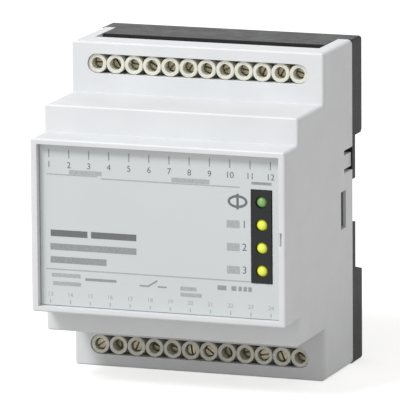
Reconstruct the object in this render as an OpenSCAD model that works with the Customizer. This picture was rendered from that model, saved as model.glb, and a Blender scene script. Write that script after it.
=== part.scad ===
// Rail-mounted amplifier relay, four modules wide: a stepped cover over a dark
// base, twelve screw terminals on each shelf and a display block between them.
// X runs across the front, +Y points into the mounting rail and +Z is up.
// The origin is the middle of the face that rests on the rail. Millimetres.

/* [Housing] */
// Width across the side walls
body_w = 70; // [68:1:90]
// Height from the bottom face to the top face
body_h = 87; // [86:1:105]
// Front of the terminal shelves, ahead of the rail plane
shelf_reach = 25.4; // [24.6:0.2:32]
// Front of the middle step, ahead of the rail plane
step_reach = 45.8; // [44:0.2:55]
// Front rim of the display block, ahead of the rail plane
face_reach = 56.4; // [56:0.2:75]
// Height of the middle step
step_h = 60; // [60:1:66]
// Height of the display block
face_h = 45.8; // [44:0.2:56]
// Thickness of the moulded walls
wall = 2; // [1.6:0.1:2.4]
// Rounding of the upright front edges
upright_r = 0.8; // [0.5:0.1:4]
// Rounding of the level front edges
level_r = 0.5; // [0.3:0.1:2]
// Rounding of the edges that run from front to back
corner_r = 1.2; // [0.3:0.1:2]
// The same rounding on the base
base_r = 0.6; // [0.3:0.1:2]
// Back edge of the cover, ahead of the rail plane
cover_edge = 2.4; // [1.8:0.1:3]

/* [Side snaps] */
// Height of the snap window in each side wall
snap_h = 10; // [6:0.5:14]
// Width of the snap window
snap_w = 4; // [2.5:0.1:5]
// Front edge of the snap window, ahead of the rail plane
snap_reach = 11.8; // [9.5:0.1:12]
// Height of the window's middle above the rail's middle
snap_z = -0.6; // [-3:0.1:3]
// Height of the spring tongue in each side wall's back edge, with its slits
tongue_h = 6.1; // [5:0.1:8]
// Length of the tongue from the back edge
tongue_l = 6.8; // [3:0.1:7.5]
// Height of the tongue's middle
tongue_z = 12; // [10:0.1:14]

/* [Display] */
// Margin beside the recessed face
rim_side = 1.9; // [1.6:0.1:4]
// Margin above and below the recessed face
rim_end = 1.5; // [1.2:0.1:4]
// Depth of the recess
recess_d = 2.2; // [1:0.1:2.5]
// Thickness of the printed panel
label_t = 0.4; // [0.3:0.1:0.8]
// Distance of the lamps' column from the right side
led_inset = 7.1; // [5.5:0.1:10]
// Height of the column's middle
led_mid = 0.3; // [-3:0.1:3]
// Distance between lamps
led_pitch = 6; // [5:0.1:7]
// Diameter of a lamp
led_d = 3; // [2.6:0.1:3.4]
// Width of the lamps' holder
holder_w = 5.5; // [5.2:0.1:7]
// Height of the holder past the outer lamps' axes
holder_end = 3.1; // [2.6:0.1:4]
// Height of the notch for a blade in the rim beside the lamps
prise_h = 3.8; // [3:0.1:6]
// How far that notch cuts into the rim
prise_w = 0.8; // [0.5:0.1:1]

/* [Terminals] */
// Distance between terminals
pitch = 5.08; // [4.2:0.01:5.08]
// Terminals on each shelf
poles = 12; // [8:1:12]
// Distance of a row of screws from the top or bottom face
row_inset = 5.8; // [5.4:0.1:7]
// Front-to-back size of the wire opening
wire_gap = 5.6; // [4.5:0.1:6]
// Depth of a shelf's end face in front of the wire opening
wire_front = 7.6; // [7:0.1:9]
// How far the collars stand back from the shelf's front
collar_back = 0.5; // [0.2:0.1:1.2]
// Length of the collars in front of the block's body
collar_l = 5; // [3:0.1:5.5]
// Wall of a collar
collar_wall = 0.9; // [0.6:0.05:1]
// Height of a terminal screw's head
head_h = 1.5; // [1.2:0.1:2]

/* [Rail] */
// Height of the mounting rail
rail_h = 35; // [30:1:42]
// Thickness of the rail's sheet
rail_t = 1; // [1:0.1:1.5]
// How far the legs reach behind the rail plane
leg_d = 5.4; // [5:0.1:6.5]
// How far a hook reaches over the rail's edge
hook_lap = 1.7; // [1.2:0.1:2.5]
// Width of the rail latch
latch_w = 14; // [12:0.5:18]
// Travel of the rail latch
latch_travel = 4; // [3:0.1:4.5]
// Length of the latch spring
spring_len = 11.4; // [10.5:0.1:12]

/* [Boards] */
// Front of the main board, ahead of the rail plane
board_reach = 11.2; // [10.8:0.1:12]
// Thickness of a circuit board
board_t = 1.6; // [1.2:0.1:2]
// Length of the cover's posts that carry the front board
post_l = 2.7; // [2.4:0.1:4]

/* [Fits] */
// Gap between pieces that slide or nest
fit = 0.2; // [0.15:0.05:0.25]
// Gap all round a pin in its hole
pin_fit = 0.15; // [0.1:0.05:0.25]

/* [Hidden] */
$fn = 48;
eps = 0.01;

// Housing, derived
inner_w = body_w - 2 * wall;
top_z = body_h / 2;
step_z = step_h / 2;
floor_reach = face_reach - recess_d;
recess_w = body_w - 2 * rim_side;
recess_h = face_h - 2 * rim_end;
channel_z = rail_h / 2 + fit;

// Terminals, derived
row_z = top_z - row_inset;
block_w = poles * pitch + 4 * fit;
block_top = top_z - wall - fit;
block_low = row_z - 4.6;
collar_d = pitch - 0.08;
well_d = collar_d - 2 * collar_wall;
collar_front = shelf_reach - collar_back;
block_front = collar_front - collar_l;
slot_r = collar_d / 2 + fit / 2;
wire_open_w = block_w + 3 * fit;
wire_reach = shelf_reach - wire_front;
lip_reach = wire_reach - wire_gap;
chamber_w = pitch - 0.88;
chamber_front = 17;
clamp_w = chamber_w - 2 * fit;
clamp_front = chamber_front - fit;
clamp_back = board_reach + 0.8;
wire_y = (clamp_front + clamp_back) / 2;
clamp_h = 5;
clamp_t = 0.9;
clamp_side = 0.5;
bar_t = 0.6;
screw_d = clamp_w - 2 * clamp_side - 2 * fit;
bar_w = screw_d;
head_d = well_d - 2 * fit;
shank_l = collar_front - head_h - clamp_front + clamp_t - 1;

// Boards, derived
board_back = board_reach - board_t;
board_w = inner_w - 6 * fit;
board_h = body_h - 2 * wall - 4 * fit;
front_board_front = floor_reach - wall - post_l;
front_board_back = front_board_front - board_t;
front_board_w = inner_w - 6 * fit;
front_board_h = face_h - 2 * wall - 4 * fit;
base_inner_x = body_w / 2 - 2 * wall;
riser_inset = 11;
riser_x = base_inner_x - riser_inset;
riser_h = 38;
riser_tabs = [-11, 11];
tab_h = 6;
chip_h = 2.2;

// Rail hooks, derived
hook_w = 14;
hook_x = 17;
hook_low = rail_h / 2 - hook_lap;

// Rail latch, derived
latch_floor = rail_t + fit;
latch_y0 = latch_floor + pin_fit;
latch_y1 = leg_d - 2 * fit;
flange_w = latch_w + 3.7;
flange_y1 = latch_y0 + 1.5;
latch_low = -top_z + 1.5 * fit;
latch_top = -hook_low;
peg_h = 2.3;
peg_top = latch_low + 6.6;
spring_y = (latch_y0 + latch_y1) / 2;
spring_d = latch_y1 - latch_y0;
spring_wire = 0.5;
spigot_d = spring_d - 2 * spring_wire - 2 * fit;
window_w = spring_d + 4 * fit;
window_low = peg_top - peg_h - pin_fit;
window_top = peg_top + spring_len;

// Lamps, from the top one down
led_x = body_w / 2 - led_inset;
function led_z(i) = led_mid + (1.5 - i) * led_pitch;
holder_h = 3 * led_pitch + 2 * holder_end;
holder_front = floor_reach + label_t + fit;
led_lead_gap = 2.54;
led_flange_d = led_d + 0.8;
lead_d = 0.5;

// Places of the parts on the main board, as [x, z]
transformer_at = [-15.5, 14.6];
relay_at = [[-9, -17.5], [2, -17.5], [13, -17.5]];
capacitor_at = [[-24.5, -8], [-24.5, -21]];
rectifier_at = [-8, -3.5];
regulator_at = [9.5, 5];
varistor_reach = 3.75;
varistor_at = [base_inner_x - varistor_reach - 0.75, 18];
resistor_reach = 4;
resistor_rows = [[8, 14], [base_inner_x - resistor_reach - 0.6, -22]];
resistor_at = [for (r = resistor_rows, i = [0:2]) r + [0, 4 * i]];

// Pins that pass the main board, each as [x, z]
relay_pin_offsets = [[-3.8, -8.5], [3.8, -8.5], [-3.8, 8.5], [3.8, 8.5], [0, 5]];
relay_pins = [for (r = relay_at, p = relay_pin_offsets) r + p];
capacitor_pins = [for (c = capacitor_at, s = [-1, 1]) c + [s * 2.5, 0]];
rectifier_pins = [for (i = [-1.5:1:1.5]) rectifier_at + [i * 3.8, 0]];
regulator_pins = [for (i = [-1, 0, 1]) regulator_at + [i * 2.54, 0]];
varistor_pins = [for (s = [-1, 1]) varistor_at + [s * varistor_reach, 0]];
resistor_pins = [for (r = resistor_at, s = [-1, 1]) r + [s * resistor_reach, 0]];
transformer_pins = [for (s = [-1, 1], i = [-1.5:1:1.5]) transformer_at + [i * 5, s * 11.2]];
main_pins = concat(relay_pins, capacitor_pins, rectifier_pins, regulator_pins,
    varistor_pins, resistor_pins, transformer_pins);
main_pin_d = 0.8;
pin_tail = 1.4;

// Posts of the base under the main board, and of the cover over the front board
base_post_x = board_w / 2 - 4.4;
base_post_z = block_low - 4;
face_post_x = front_board_w / 2 - 4;
face_post_z = front_board_h / 2 - 3;
post_d = 4;
stub_d = 1.8;

// A plan or a profile with round front corners: u across, v from -front to -back
module round_front(size, front, back, r) {
    translate([-size / 2, r - front])
        square([size, front - r - back]);
    translate([r - size / 2, -front])
        square([size - 2 * r, front - back]);
    for (s = [-1, 1])
        translate([s * (size / 2 - r), r - front])
            circle(r);
}

// Rectangle with round corners about its middle
module round_rect(w, h, r) {
    square([w - 2 * r, h], center = true);
    square([w, h - 2 * r], center = true);
    for (sx = [-1, 1], sy = [-1, 1])
        translate([sx * (w / 2 - r), sy * (h / 2 - r)])
            circle(r);
}

// Bar along Y from -front to -back whose four long edges are rounded
module round_bar(w, h, front, back, r) {
    rotate([90, 0, 0])
        translate([0, 0, back])
            linear_extrude(front - back)
                round_rect(w, h, r);
}

// One level of the stepped form: radii of its upright front edges, its level
// front edges and the edges that run back
module level(w, h, front, back, upright, edge, corner) {
    intersection() {
        round_bar(w, h, front, back, corner);
        translate([0, 0, -h / 2])
            linear_extrude(h)
                round_front(w, front, back, upright);
        translate([-w / 2, 0, 0])
            rotate([0, 90, 0])
                linear_extrude(w)
                    round_front(h, front, back, edge);
    }
}

// Box between two corners
module span(low, high) {
    translate(low)
        cube(high - low);
}

// Round bar along Y from -front to -back
module bar_y(d, front, back) {
    translate([0, -back, 0])
        rotate([90, 0, 0])
            cylinder(d = d, h = front - back);
}

// Puts a part on the main board, its own Z pointing to the front
module on_main(at) {
    translate([at[0], -board_reach, at[1]])
        rotate([90, 0, 0])
            children();
}

module pins_down(places, at, d = main_pin_d) {
    for (p = places)
        translate([p[0] - at[0], p[1] - at[1], -board_t - pin_tail])
            cylinder(d = d, h = board_t + pin_tail + 0.3);
}

// Children at each terminal of the upper row
module each_pole() {
    for (i = [0:poles - 1])
        translate([(i - (poles - 1) / 2) * pitch, 0, row_z])
            children();
}

module bottom_row() {
    mirror([0, 0, 1])
        children();
}

// Cover

module slot(r, front, back) {
    reach = (poles - 1) * pitch / 2;
    rotate([90, 0, 0])
        translate([0, 0, back])
            linear_extrude(front - back) {
                square([2 * reach, 2 * r], center = true);
                for (s = [-1, 1])
                    translate([s * reach, 0])
                        circle(r);
            }
}

module cover_shell() {
    difference() {
        union() {
            level(body_w, body_h, shelf_reach, cover_edge, upright_r, level_r, corner_r);
            level(body_w, step_h, step_reach, cover_edge, upright_r, level_r, corner_r);
            level(body_w, face_h, face_reach, cover_edge, upright_r, level_r, corner_r);
        }
        front_r = 0.5;
        side_r = 0.3;
        level(inner_w, body_h - 2 * wall, shelf_reach - wall, 0, front_r, front_r, side_r);
        level(inner_w, step_h - 2 * wall, step_reach - wall, 0, front_r, front_r, side_r);
        level(inner_w, face_h - 2 * wall, floor_reach - wall, 0, front_r, front_r, side_r);
    }
}

// Two slits that free a tongue in a side wall, and its face let in a little
module spring_tongue(s) {
    slit_top = 1.5;
    slit_low = 0.9;
    sunk = 0.4;
    low = tongue_z - tongue_h / 2;
    high = tongue_z + tongue_h / 2;
    y0 = -cover_edge - tongue_l;
    mirror([s < 0 ? 1 : 0, 0, 0]) {
        span([body_w / 2 - wall - 0.5, y0, high - slit_top], [body_w / 2 + 1, 1, high]);
        span([body_w / 2 - wall - 0.5, y0, low], [body_w / 2 + 1, 1, low + slit_low]);
        span([body_w / 2 - sunk, y0, low], [body_w / 2 + 1, 1, high]);
    }
}

module cover_openings() {
    prise_back = floor_reach - 0.6;
    for (s = [-1, 1]) {
        translate([0, 0, s * row_z])
            slot(slot_r, shelf_reach + 1, shelf_reach - wall - 1);
        span([-wire_open_w / 2, -wire_reach, min(s * (top_z - wall - eps), s * (top_z + 1))],
            [wire_open_w / 2, 1, max(s * (top_z - wall - eps), s * (top_z + 1))]);
        translate([s * (body_w / 2 - wall / 2), -snap_reach + snap_w / 2, snap_z])
            cube([wall + 1, snap_w, snap_h], center = true);
        spring_tongue(s);
    }
    span([-recess_w / 2, -face_reach - 1, -recess_h / 2], [recess_w / 2, -floor_reach, recess_h / 2]);
    // Notch in the rim for a blade that lifts the printed panel
    span([recess_w / 2 - eps, -face_reach - 1, -prise_h / 2], [recess_w / 2 + prise_w, -prise_back, prise_h / 2]);
    translate([led_x, -floor_reach + wall / 2, led_mid])
        cube([holder_w + fit, wall + 1, holder_h + fit], center = true);
}

// Posts that carry the front board, each with a stub through its hole
module cover_posts() {
    for (sx = [-1, 1], sz = [-1, 1])
        translate([sx * face_post_x, 0, sz * face_post_z]) {
            bar_y(post_d, floor_reach - wall + 0.5, front_board_front);
            bar_y(stub_d, front_board_front + 0.5, front_board_back - 0.7);
        }
}

// Ribs on the side walls: two pairs hold the main board down, one pair
// stiffens the middle step
module cover_ribs() {
    rib_t = 1.2;
    hold_w = 1.6;
    stiff_w = 1.2;
    root = 0.5;
    stiff_z = step_z - 6;
    for (sx = [0, 1], sz = [-1, 1])
        mirror([sx, 0, 0]) {
            translate([inner_w / 2 - hold_w, wall - shelf_reach - root, sz * (block_low - 3.5) - rib_t / 2])
                cube([hold_w + root, shelf_reach - wall + root - board_reach, rib_t]);
            translate([inner_w / 2 - stiff_w, wall - step_reach - root, sz * stiff_z - rib_t / 2])
                cube([stiff_w + root, step_reach - shelf_reach, rib_t]);
        }
}

module cover() {
    color([0.87, 0.89, 0.9]) {
        difference() {
            cover_shell();
            cover_openings();
        }
        cover_posts();
        cover_ribs();
    }
}

// Base

// Side profile of the base behind the cover: back plate and two legs
module base_profile() {
    lead_in = 1.4;
    corner = 0.8;
    polygon([
        [-cover_edge, -top_z], [leg_d - corner, -top_z], [leg_d, -top_z + corner],
        [leg_d, -channel_z - lead_in], [0, -channel_z], [0, channel_z],
        [leg_d - corner, channel_z], [leg_d, channel_z + corner],
        [leg_d, top_z - corner], [leg_d - corner, top_z], [-cover_edge, top_z]
    ]);
}

// Extrudes a side profile, drawn as [y, z], across a width
module across(w) {
    rotate([90, 0, 90])
        translate([0, 0, -w / 2])
            linear_extrude(w)
                children();
}

latch_zone = flange_w / 2 + wall;

// Hollows in the legs, open to the inside, shallower behind the latch guide
module base_hollows() {
    leg_low = channel_z + wall;
    leg_high = top_z - wall;
    half = body_w / 2 - wall;
    span([-half, -cover_edge - 1, leg_low], [half, leg_d - wall, leg_high]);
    for (s = [-1, 1])
        span([min(s * latch_zone, s * half), -cover_edge - 1, -leg_high],
            [max(s * latch_zone, s * half), leg_d - wall, -leg_low - 1.4]);
    span([-latch_zone - eps, -cover_edge - 1, -leg_high], [latch_zone + eps, latch_floor - wall, -leg_low - 1.4]);
}

// T-shaped guide of the latch, open behind, below and into the rail channel
module latch_guide() {
    span([-flange_w / 2 - pin_fit, latch_floor, -top_z - 1],
        [flange_w / 2 + pin_fit, flange_y1 + pin_fit, -channel_z + 1]);
    span([-latch_w / 2 - pin_fit, latch_floor, -top_z - 1],
        [latch_w / 2 + pin_fit, leg_d + 1, -channel_z + 1]);
}

// Fixed peg with a spigot that the latch spring stands on
module spring_peg() {
    peg_w = window_w - 4 * fit;
    span([-peg_w / 2, latch_floor - 0.5, peg_top - peg_h], [peg_w / 2, latch_y1 - fit, peg_top]);
    translate([0, spring_y, peg_top - 0.5])
        cylinder(d = spigot_d, h = 2.3);
}

// Fixed hooks that grip the rail's upper edge, with a lead-in behind
module rail_hooks() {
    y0 = rail_t + fit;
    y1 = y0 + 2.2;
    z0 = hook_low;
    for (s = [-1, 1])
        translate([s * hook_x, 0, 0])
            across(hook_w)
                polygon([[y0, z0], [y0 + 0.7, z0], [y1, z0 + 1], [y1, channel_z + 0.5], [y0, channel_z + 0.5]]);
}

// Windows through the seat, where the mould's cores form the hooks, and one
// under the latch's nose
module seat_windows() {
    margin = 0.3;
    inner = hook_low - margin;
    for (s = [-1, 1])
        translate([s * hook_x, 0, 0])
            span([-hook_w / 2 - margin, -cover_edge - 1, inner], [hook_w / 2 + margin, 1, channel_z]);
    span([-latch_w / 2 - margin, -cover_edge - 1, -channel_z], [latch_w / 2 + margin, 1, -inner]);
}

// Walls inside the cover, cut by slits beside the snap tongue
module base_side(s) {
    side_t = wall - fit;
    outer = body_w / 2 - wall - fit;
    wedge_h = snap_h - 1.2;
    slit = 1;
    side_h = body_h - 2 * wall - 2 * fit;
    barb = 0.7 * wall;
    barb_gap = 0.3;
    barb_back = snap_w - barb_gap - snap_reach;
    mirror([s < 0 ? 1 : 0, 0, 0]) {
        difference() {
            span([outer - side_t, -board_back, -side_h / 2], [outer, -cover_edge + 0.5, side_h / 2]);
            for (t = [-1, 1])
                translate([outer - side_t / 2, -board_back, snap_z + t * (snap_h / 2 + slit)])
                    cube([side_t + 1, 2 * (board_back - cover_edge), slit], center = true);
        }
        // Wedge that springs into the window
        translate([0, 0, snap_z - wedge_h / 2])
            linear_extrude(wedge_h)
                polygon([
                    [outer - 0.5, -board_back], [outer, -board_back], [outer, barb_gap - snap_reach],
                    [outer + barb, -board_back], [outer + barb, barb_back], [outer - 0.5, barb_back]
                ]);
    }
}

// Strips that close the top and the bottom behind the wire openings
module base_lips() {
    lip_w = wire_open_w - 2 * fit;
    for (s = [-1, 1])
        span([-lip_w / 2, -lip_reach, s > 0 ? top_z - wall : -top_z],
            [lip_w / 2, -cover_edge + 0.5, s > 0 ? top_z : wall - top_z]);
}

module base_posts() {
    for (sx = [-1, 1], sz = [-1, 1])
        translate([sx * base_post_x, 0, sz * base_post_z]) {
            bar_y(post_d + 1.6, board_back, -leg_d + wall / 2);
            bar_y(stub_d, board_reach + 0.8, board_back - 0.5);
        }
}

module base() {
    relief_h = 11.7;
    relief_z = 0.4;
    color([0.29, 0.29, 0.3]) {
        difference() {
            union() {
                intersection() {
                    across(body_w)
                        base_profile();
                    round_bar(body_w, body_h, cover_edge, -leg_d, base_r);
                }
                base_lips();
            }
            base_hollows();
            seat_windows();
            latch_guide();
            // Reliefs in the seat's edges, behind the cover's walls
            for (s = [-1, 1])
                translate([s * body_w / 2, 0, relief_z])
                    cube([2 * wall, 2 * cover_edge + eps, relief_h], center = true);
        }
        rail_hooks();
        spring_peg();
        base_side(1);
        base_side(-1);
        base_posts();
    }
}

// Rail latch and its spring

module rail_latch() {
    nose_w = latch_w;
    shoulder = -channel_z - 1;
    eye_w = 6;
    eye_h = 1.8;
    color([0.25, 0.25, 0.26])
        difference() {
            union() {
                span([-latch_w / 2, latch_y0, latch_low], [latch_w / 2, latch_y1, shoulder]);
                span([-flange_w / 2, latch_y0, latch_low + latch_travel], [flange_w / 2, flange_y1, shoulder - 3]);
                // Nose with a slope that the rail pushes down
                across(nose_w)
                    polygon([
                        [latch_y0, shoulder - 1], [latch_y0, latch_top], [latch_y0 + 0.6, latch_top],
                        [latch_y1, shoulder + 0.4], [latch_y1, shoulder - 1]
                    ]);
            }
            span([-window_w / 2, latch_y0 - 1, window_low], [window_w / 2, latch_y1 + 1, window_top]);
            // Eye for a screwdriver's blade
            span([-eye_w / 2, latch_y0 - 1, latch_low + 1.2], [eye_w / 2, latch_y1 + 1, latch_low + 1.2 + eye_h]);
            // Finger grooves on the back
            for (i = [0:2])
                translate([0, latch_y1, window_top + 1.4 + 1.3 * i])
                    rotate([0, 90, 0])
                        cylinder(r = 0.4, h = latch_w + 1, center = true);
        }
    color([0.25, 0.25, 0.26])
        translate([0, spring_y, window_top - 1.8])
            cylinder(d = spigot_d, h = 2.3);
}

// Compression spring with a closed turn at each end, as rings of points
spring_turns = 8;
spring_steps = 16;
ring_n = 6;
spring_r = (spring_d - spring_wire) / 2 - fit / 2;
function spring_lift(u, len) =
    u < 1 ? spring_wire * (0.5 + u)
    : u > spring_turns - 1 ? len - spring_wire * (0.5 + spring_turns - u)
    : 1.5 * spring_wire + (u - 1) * (len - 3 * spring_wire) / (spring_turns - 2);

module coil(len) {
    last = spring_turns * spring_steps;
    points = [for (k = [0:last], j = [0:ring_n - 1])
        let (u = k / spring_steps, a = 360 * u, b = 360 * j / ring_n,
            r = spring_r + spring_wire / 2 * cos(b))
        [r * cos(a), r * sin(a), spring_lift(u, len) + spring_wire / 2 * sin(b)]];
    sides = [for (k = [0:last - 1], j = [0:ring_n - 1])
        let (n = (j + 1) % ring_n)
        [k * ring_n + j, (k + 1) * ring_n + j, (k + 1) * ring_n + n, k * ring_n + n]];
    caps = [[for (j = [0:ring_n - 1]) j], [for (j = [ring_n - 1:-1:0]) last * ring_n + j]];
    polyhedron(points, concat(sides, caps));
}

module latch_spring() {
    end_gap = 0.05;
    color([0.75, 0.75, 0.76])
        translate([0, spring_y, peg_top + end_gap])
            coil(spring_len - 2 * end_gap);
}

// Display

module front_label() {
    color([0.82, 0.84, 0.84])
        difference() {
            span([-recess_w / 2 + fit, -floor_reach - label_t, -recess_h / 2 + fit],
                [recess_w / 2 - fit, -floor_reach, recess_h / 2 - fit]);
            translate([led_x, -floor_reach, led_mid])
                cube([holder_w + 2 * fit, 4, holder_h + 2 * fit], center = true);
        }
}

module led_holder() {
    color([0.1, 0.1, 0.11])
        difference() {
            span([led_x - holder_w / 2, -holder_front, led_mid - holder_h / 2],
                [led_x + holder_w / 2, -front_board_front, led_mid + holder_h / 2]);
            for (i = [0:3])
                translate([led_x, 0, led_z(i)]) {
                    bar_y(led_d + pin_fit, holder_front + 1, front_board_front - 1);
                    bar_y(led_flange_d + 2 * pin_fit, front_board_front + 1.2, front_board_front - 1);
                }
        }
}

// Round lamp: domed body, flange with a flat, two leads through the board
module led(i) {
    dome_y = holder_front - led_d / 2 + 0.4;
    translate([led_x, 0, led_z(i)]) {
        bar_y(led_d, dome_y, front_board_front);
        translate([0, -dome_y, 0])
            sphere(d = led_d);
        difference() {
            bar_y(led_flange_d, front_board_front + 1, front_board_front);
            translate([-led_flange_d, -front_board_front - 2, -led_flange_d / 2])
                cube([led_flange_d - led_d / 2, 3, led_flange_d]);
        }
        for (s = [-1, 1])
            translate([0, 0, s * led_lead_gap / 2])
                bar_y(lead_d, front_board_front + 0.5, front_board_back - pin_tail);
    }
}

module green_led() {
    color([0.35, 0.62, 0.32])
        led(0);
}

module yellow_led(i) {
    color([0.9, 0.92, 0.3])
        led(i);
}

// Terminals, drawn for the upper row

module terminal_block() {
    color([0.9, 0.89, 0.8])
        difference() {
            union() {
                span([-block_w / 2, -block_front, block_low], [block_w / 2, -board_reach, block_top]);
                each_pole()
                    bar_y(collar_d, collar_front, block_front - 1);
            }
            each_pole() {
                bar_y(well_d, collar_front + 1, chamber_front - 1);
                // Chamber of the clamp, open towards the board
                span([-chamber_w / 2, -chamber_front, -clamp_h / 2 - 1.2],
                    [chamber_w / 2, -board_reach + 1, clamp_h / 2 + fit]);
                // Wire entry with a funnel
                span([-bar_w / 2 - 0.3, -wire_y - 1.6, 0], [bar_w / 2 + 0.3, -wire_y + 1.4, top_z - row_z]);
                translate([0, -wire_y - 0.1, block_top - row_z - 0.6])
                    cube([chamber_w - 0.2, 3.8, 1.3], center = true);
            }
        }
}

// Slotted screw along Y, its head's face at -front, its slot turned
module terminal_screw(front, turn) {
    slot_t = 0.6;
    slot_d = 0.7;
    rotate([0, turn, 0])
        difference() {
            union() {
                bar_y(head_d, front, front - head_h);
                bar_y(screw_d, front - head_h + 0.5, front - head_h - shank_l);
            }
            translate([0, -front, 0])
                cube([head_d + 1, 2 * slot_d, slot_t], center = true);
        }
}

// How far each head stands back from its collar's front: the upper row is
// alike, and in the lower row some screws are turned out and the rest in
top_sink = [for (i = [0:poles - 1]) 2.4];
turned_out = [0, 2, 5, 6, 9, 10];
low_sink = [for (i = [0:poles - 1]) len(search(i, turned_out)) > 0 ? 1.1 : 3];
top_turn = [for (i = [0:poles - 1]) (37 * i * i + 20 * i) % 180];
low_turn = [for (i = [0:poles - 1]) (53 * i * i + 35) % 180];

module terminal_screws(sink, turn) {
    color([0.62, 0.58, 0.42])
        for (i = [0:poles - 1])
            translate([(i - (poles - 1) / 2) * pitch, 0, row_z])
                terminal_screw(collar_front - sink[i], turn[i]);
}

// Clamp: a square sleeve with a tapped roof
module wire_clamps() {
    color([0.72, 0.7, 0.62])
        each_pole()
            difference() {
                span([-clamp_w / 2, -clamp_front, -clamp_h / 2], [clamp_w / 2, -clamp_back, clamp_h / 2]);
                span([-clamp_w / 2 + clamp_side, -clamp_front + clamp_t, -clamp_h],
                    [clamp_w / 2 - clamp_side, -clamp_back - clamp_t, clamp_h]);
                bar_y(screw_d + 0.1, clamp_front + 1, clamp_front - clamp_t - 0.5);
            }
}

// Current bar through each clamp, bent into a solder pin
module contacts() {
    bar_back = clamp_back + clamp_t + fit;
    pin_w = 0.9;
    pin_z = -clamp_h / 2 - 0.9;
    color([0.78, 0.76, 0.7])
        each_pole() {
            span([-bar_w / 2 + 0.2, -bar_back - bar_t, pin_z], [bar_w / 2 - 0.2, -bar_back, clamp_h / 2 - 0.2]);
            span([-pin_w / 2, -bar_back - bar_t / 2, pin_z], [pin_w / 2, -board_back + pin_tail, pin_z + 0.7]);
        }
}

module contact_holes() {
    hole_d = 1.5;
    pin_z = -clamp_h / 2 - 0.9;
    each_pole()
        translate([0, 0, pin_z + 0.35])
            bar_y(hole_d, board_reach + 1, board_back - 1);
}

// Boards

module main_board() {
    color([0.13, 0.38, 0.2])
        difference() {
            span([-board_w / 2, -board_reach, -board_h / 2], [board_w / 2, -board_back, board_h / 2]);
            contact_holes();
            bottom_row()
                contact_holes();
            for (p = main_pins)
                translate([p[0], 0, p[1]])
                    bar_y(main_pin_d + 2 * pin_fit, board_reach + 1, board_back - 1);
            for (sx = [-1, 1], sz = [-1, 1])
                translate([sx * base_post_x, 0, sz * base_post_z])
                    bar_y(stub_d + 2 * pin_fit, board_reach + 1, board_back - 1);
            riser_slots(board_reach, board_back);
        }
}

module riser_slots(front, back) {
    for (z = riser_tabs)
        span([riser_x - pin_fit, -front - 1, z - tab_h / 2 - pin_fit],
            [riser_x + board_t + pin_fit, -back + 1, z + tab_h / 2 + pin_fit]);
}

module riser_board() {
    color([0.13, 0.38, 0.2])
        difference() {
            union() {
                span([riser_x, -front_board_back, -riser_h / 2], [riser_x + board_t, -board_reach, riser_h / 2]);
                for (z = riser_tabs)
                    span([riser_x, -front_board_front, z - tab_h / 2],
                        [riser_x + board_t, -board_back, z + tab_h / 2]);
            }
            // Cut-out that leaves room for the hand on the relays
            translate([riser_x - 1, -board_reach - 4, 0])
                rotate([0, 90, 0])
                    cylinder(d = 5, h = board_t + 2);
        }
}

module front_board() {
    color([0.13, 0.38, 0.2])
        difference() {
            span([-front_board_w / 2, -front_board_front, -front_board_h / 2],
                [front_board_w / 2, -front_board_back, front_board_h / 2]);
            for (sx = [-1, 1], sz = [-1, 1])
                translate([sx * face_post_x, 0, sz * face_post_z])
                    bar_y(stub_d + 2 * pin_fit, front_board_front + 1, front_board_back - 1);
            for (i = [0:3], s = [-1, 1])
                translate([led_x, 0, led_z(i) + s * led_lead_gap / 2])
                    bar_y(lead_d + 2 * pin_fit, front_board_front + 1, front_board_back - 1);
            riser_slots(front_board_front, front_board_back);
        }
}

// Parts on the main board

core_w = 30;
core_h = 25;
core_leg = 10;
core_yoke = 5;
core_stack = 15.5;
core_lift = 3;
bobbin_end = 5.2;
bobbin_wall = 0.8;
flange_t = 0.9;
flange_half = core_leg / 2 + core_yoke - fit / 2;
bobbin_half = core_stack / 2 + bobbin_end;

module transformer_core() {
    color([0.45, 0.46, 0.48])
        on_main(transformer_at)
            translate([0, core_stack / 2, core_lift])
                rotate([90, 0, 0])
                    linear_extrude(core_stack)
                        difference() {
                            translate([-core_w / 2, 0])
                                square([core_w, core_h]);
                            for (s = [-1, 1])
                                translate([s * (core_leg + core_yoke) / 2, core_h / 2])
                                    square([core_yoke, core_h - 2 * core_yoke], center = true);
                            for (sx = [-1, 1], sz = [0, 1])
                                translate([sx * (core_w / 2 - 2.5), 2.5 + sz * (core_h - 5)])
                                    circle(d = 2.6);
                        }
}

module transformer_bobbin() {
    low = core_lift + core_yoke + fit / 2;
    high = core_lift + core_h - core_yoke - fit / 2;
    hole = [core_leg + fit, core_stack + fit];
    color([0.12, 0.12, 0.13])
        on_main(transformer_at) {
            difference() {
                union() {
                    for (z = [low, high - flange_t])
                        translate([-flange_half, -bobbin_half, z])
                            cube([2 * flange_half, 2 * bobbin_half, flange_t]);
                    translate([-hole[0] / 2 - bobbin_wall, -hole[1] / 2 - bobbin_wall, low])
                        cube([hole[0] + 2 * bobbin_wall, hole[1] + 2 * bobbin_wall, high - low]);
                    // Feet that carry the pins
                    for (s = [-1, 1])
                        translate([-flange_half, s > 0 ? bobbin_half - 4.2 : -bobbin_half, 0])
                            cube([2 * flange_half, 4.2, low + flange_t / 2]);
                }
                translate([-hole[0] / 2, -hole[1] / 2, low - 1])
                    cube([hole[0], hole[1], high - low + 2]);
            }
            pins_down(transformer_pins, transformer_at);
        }
}

module transformer_winding() {
    low = core_lift + core_yoke + flange_t + fit;
    high = core_lift + core_h - core_yoke - flange_t - fit;
    inner = [core_leg + 2 * bobbin_wall + 2 * fit, core_stack + 2 * bobbin_wall + 2 * fit];
    outer = [2 * flange_half - 1, 2 * bobbin_half - 1];
    r = 2;
    color([0.85, 0.72, 0.2])
        on_main(transformer_at)
            translate([0, 0, low])
                linear_extrude(high - low)
                    difference() {
                        round_rect(outer[0], outer[1], r);
                        square(inner, center = true);
                    }
}

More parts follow.
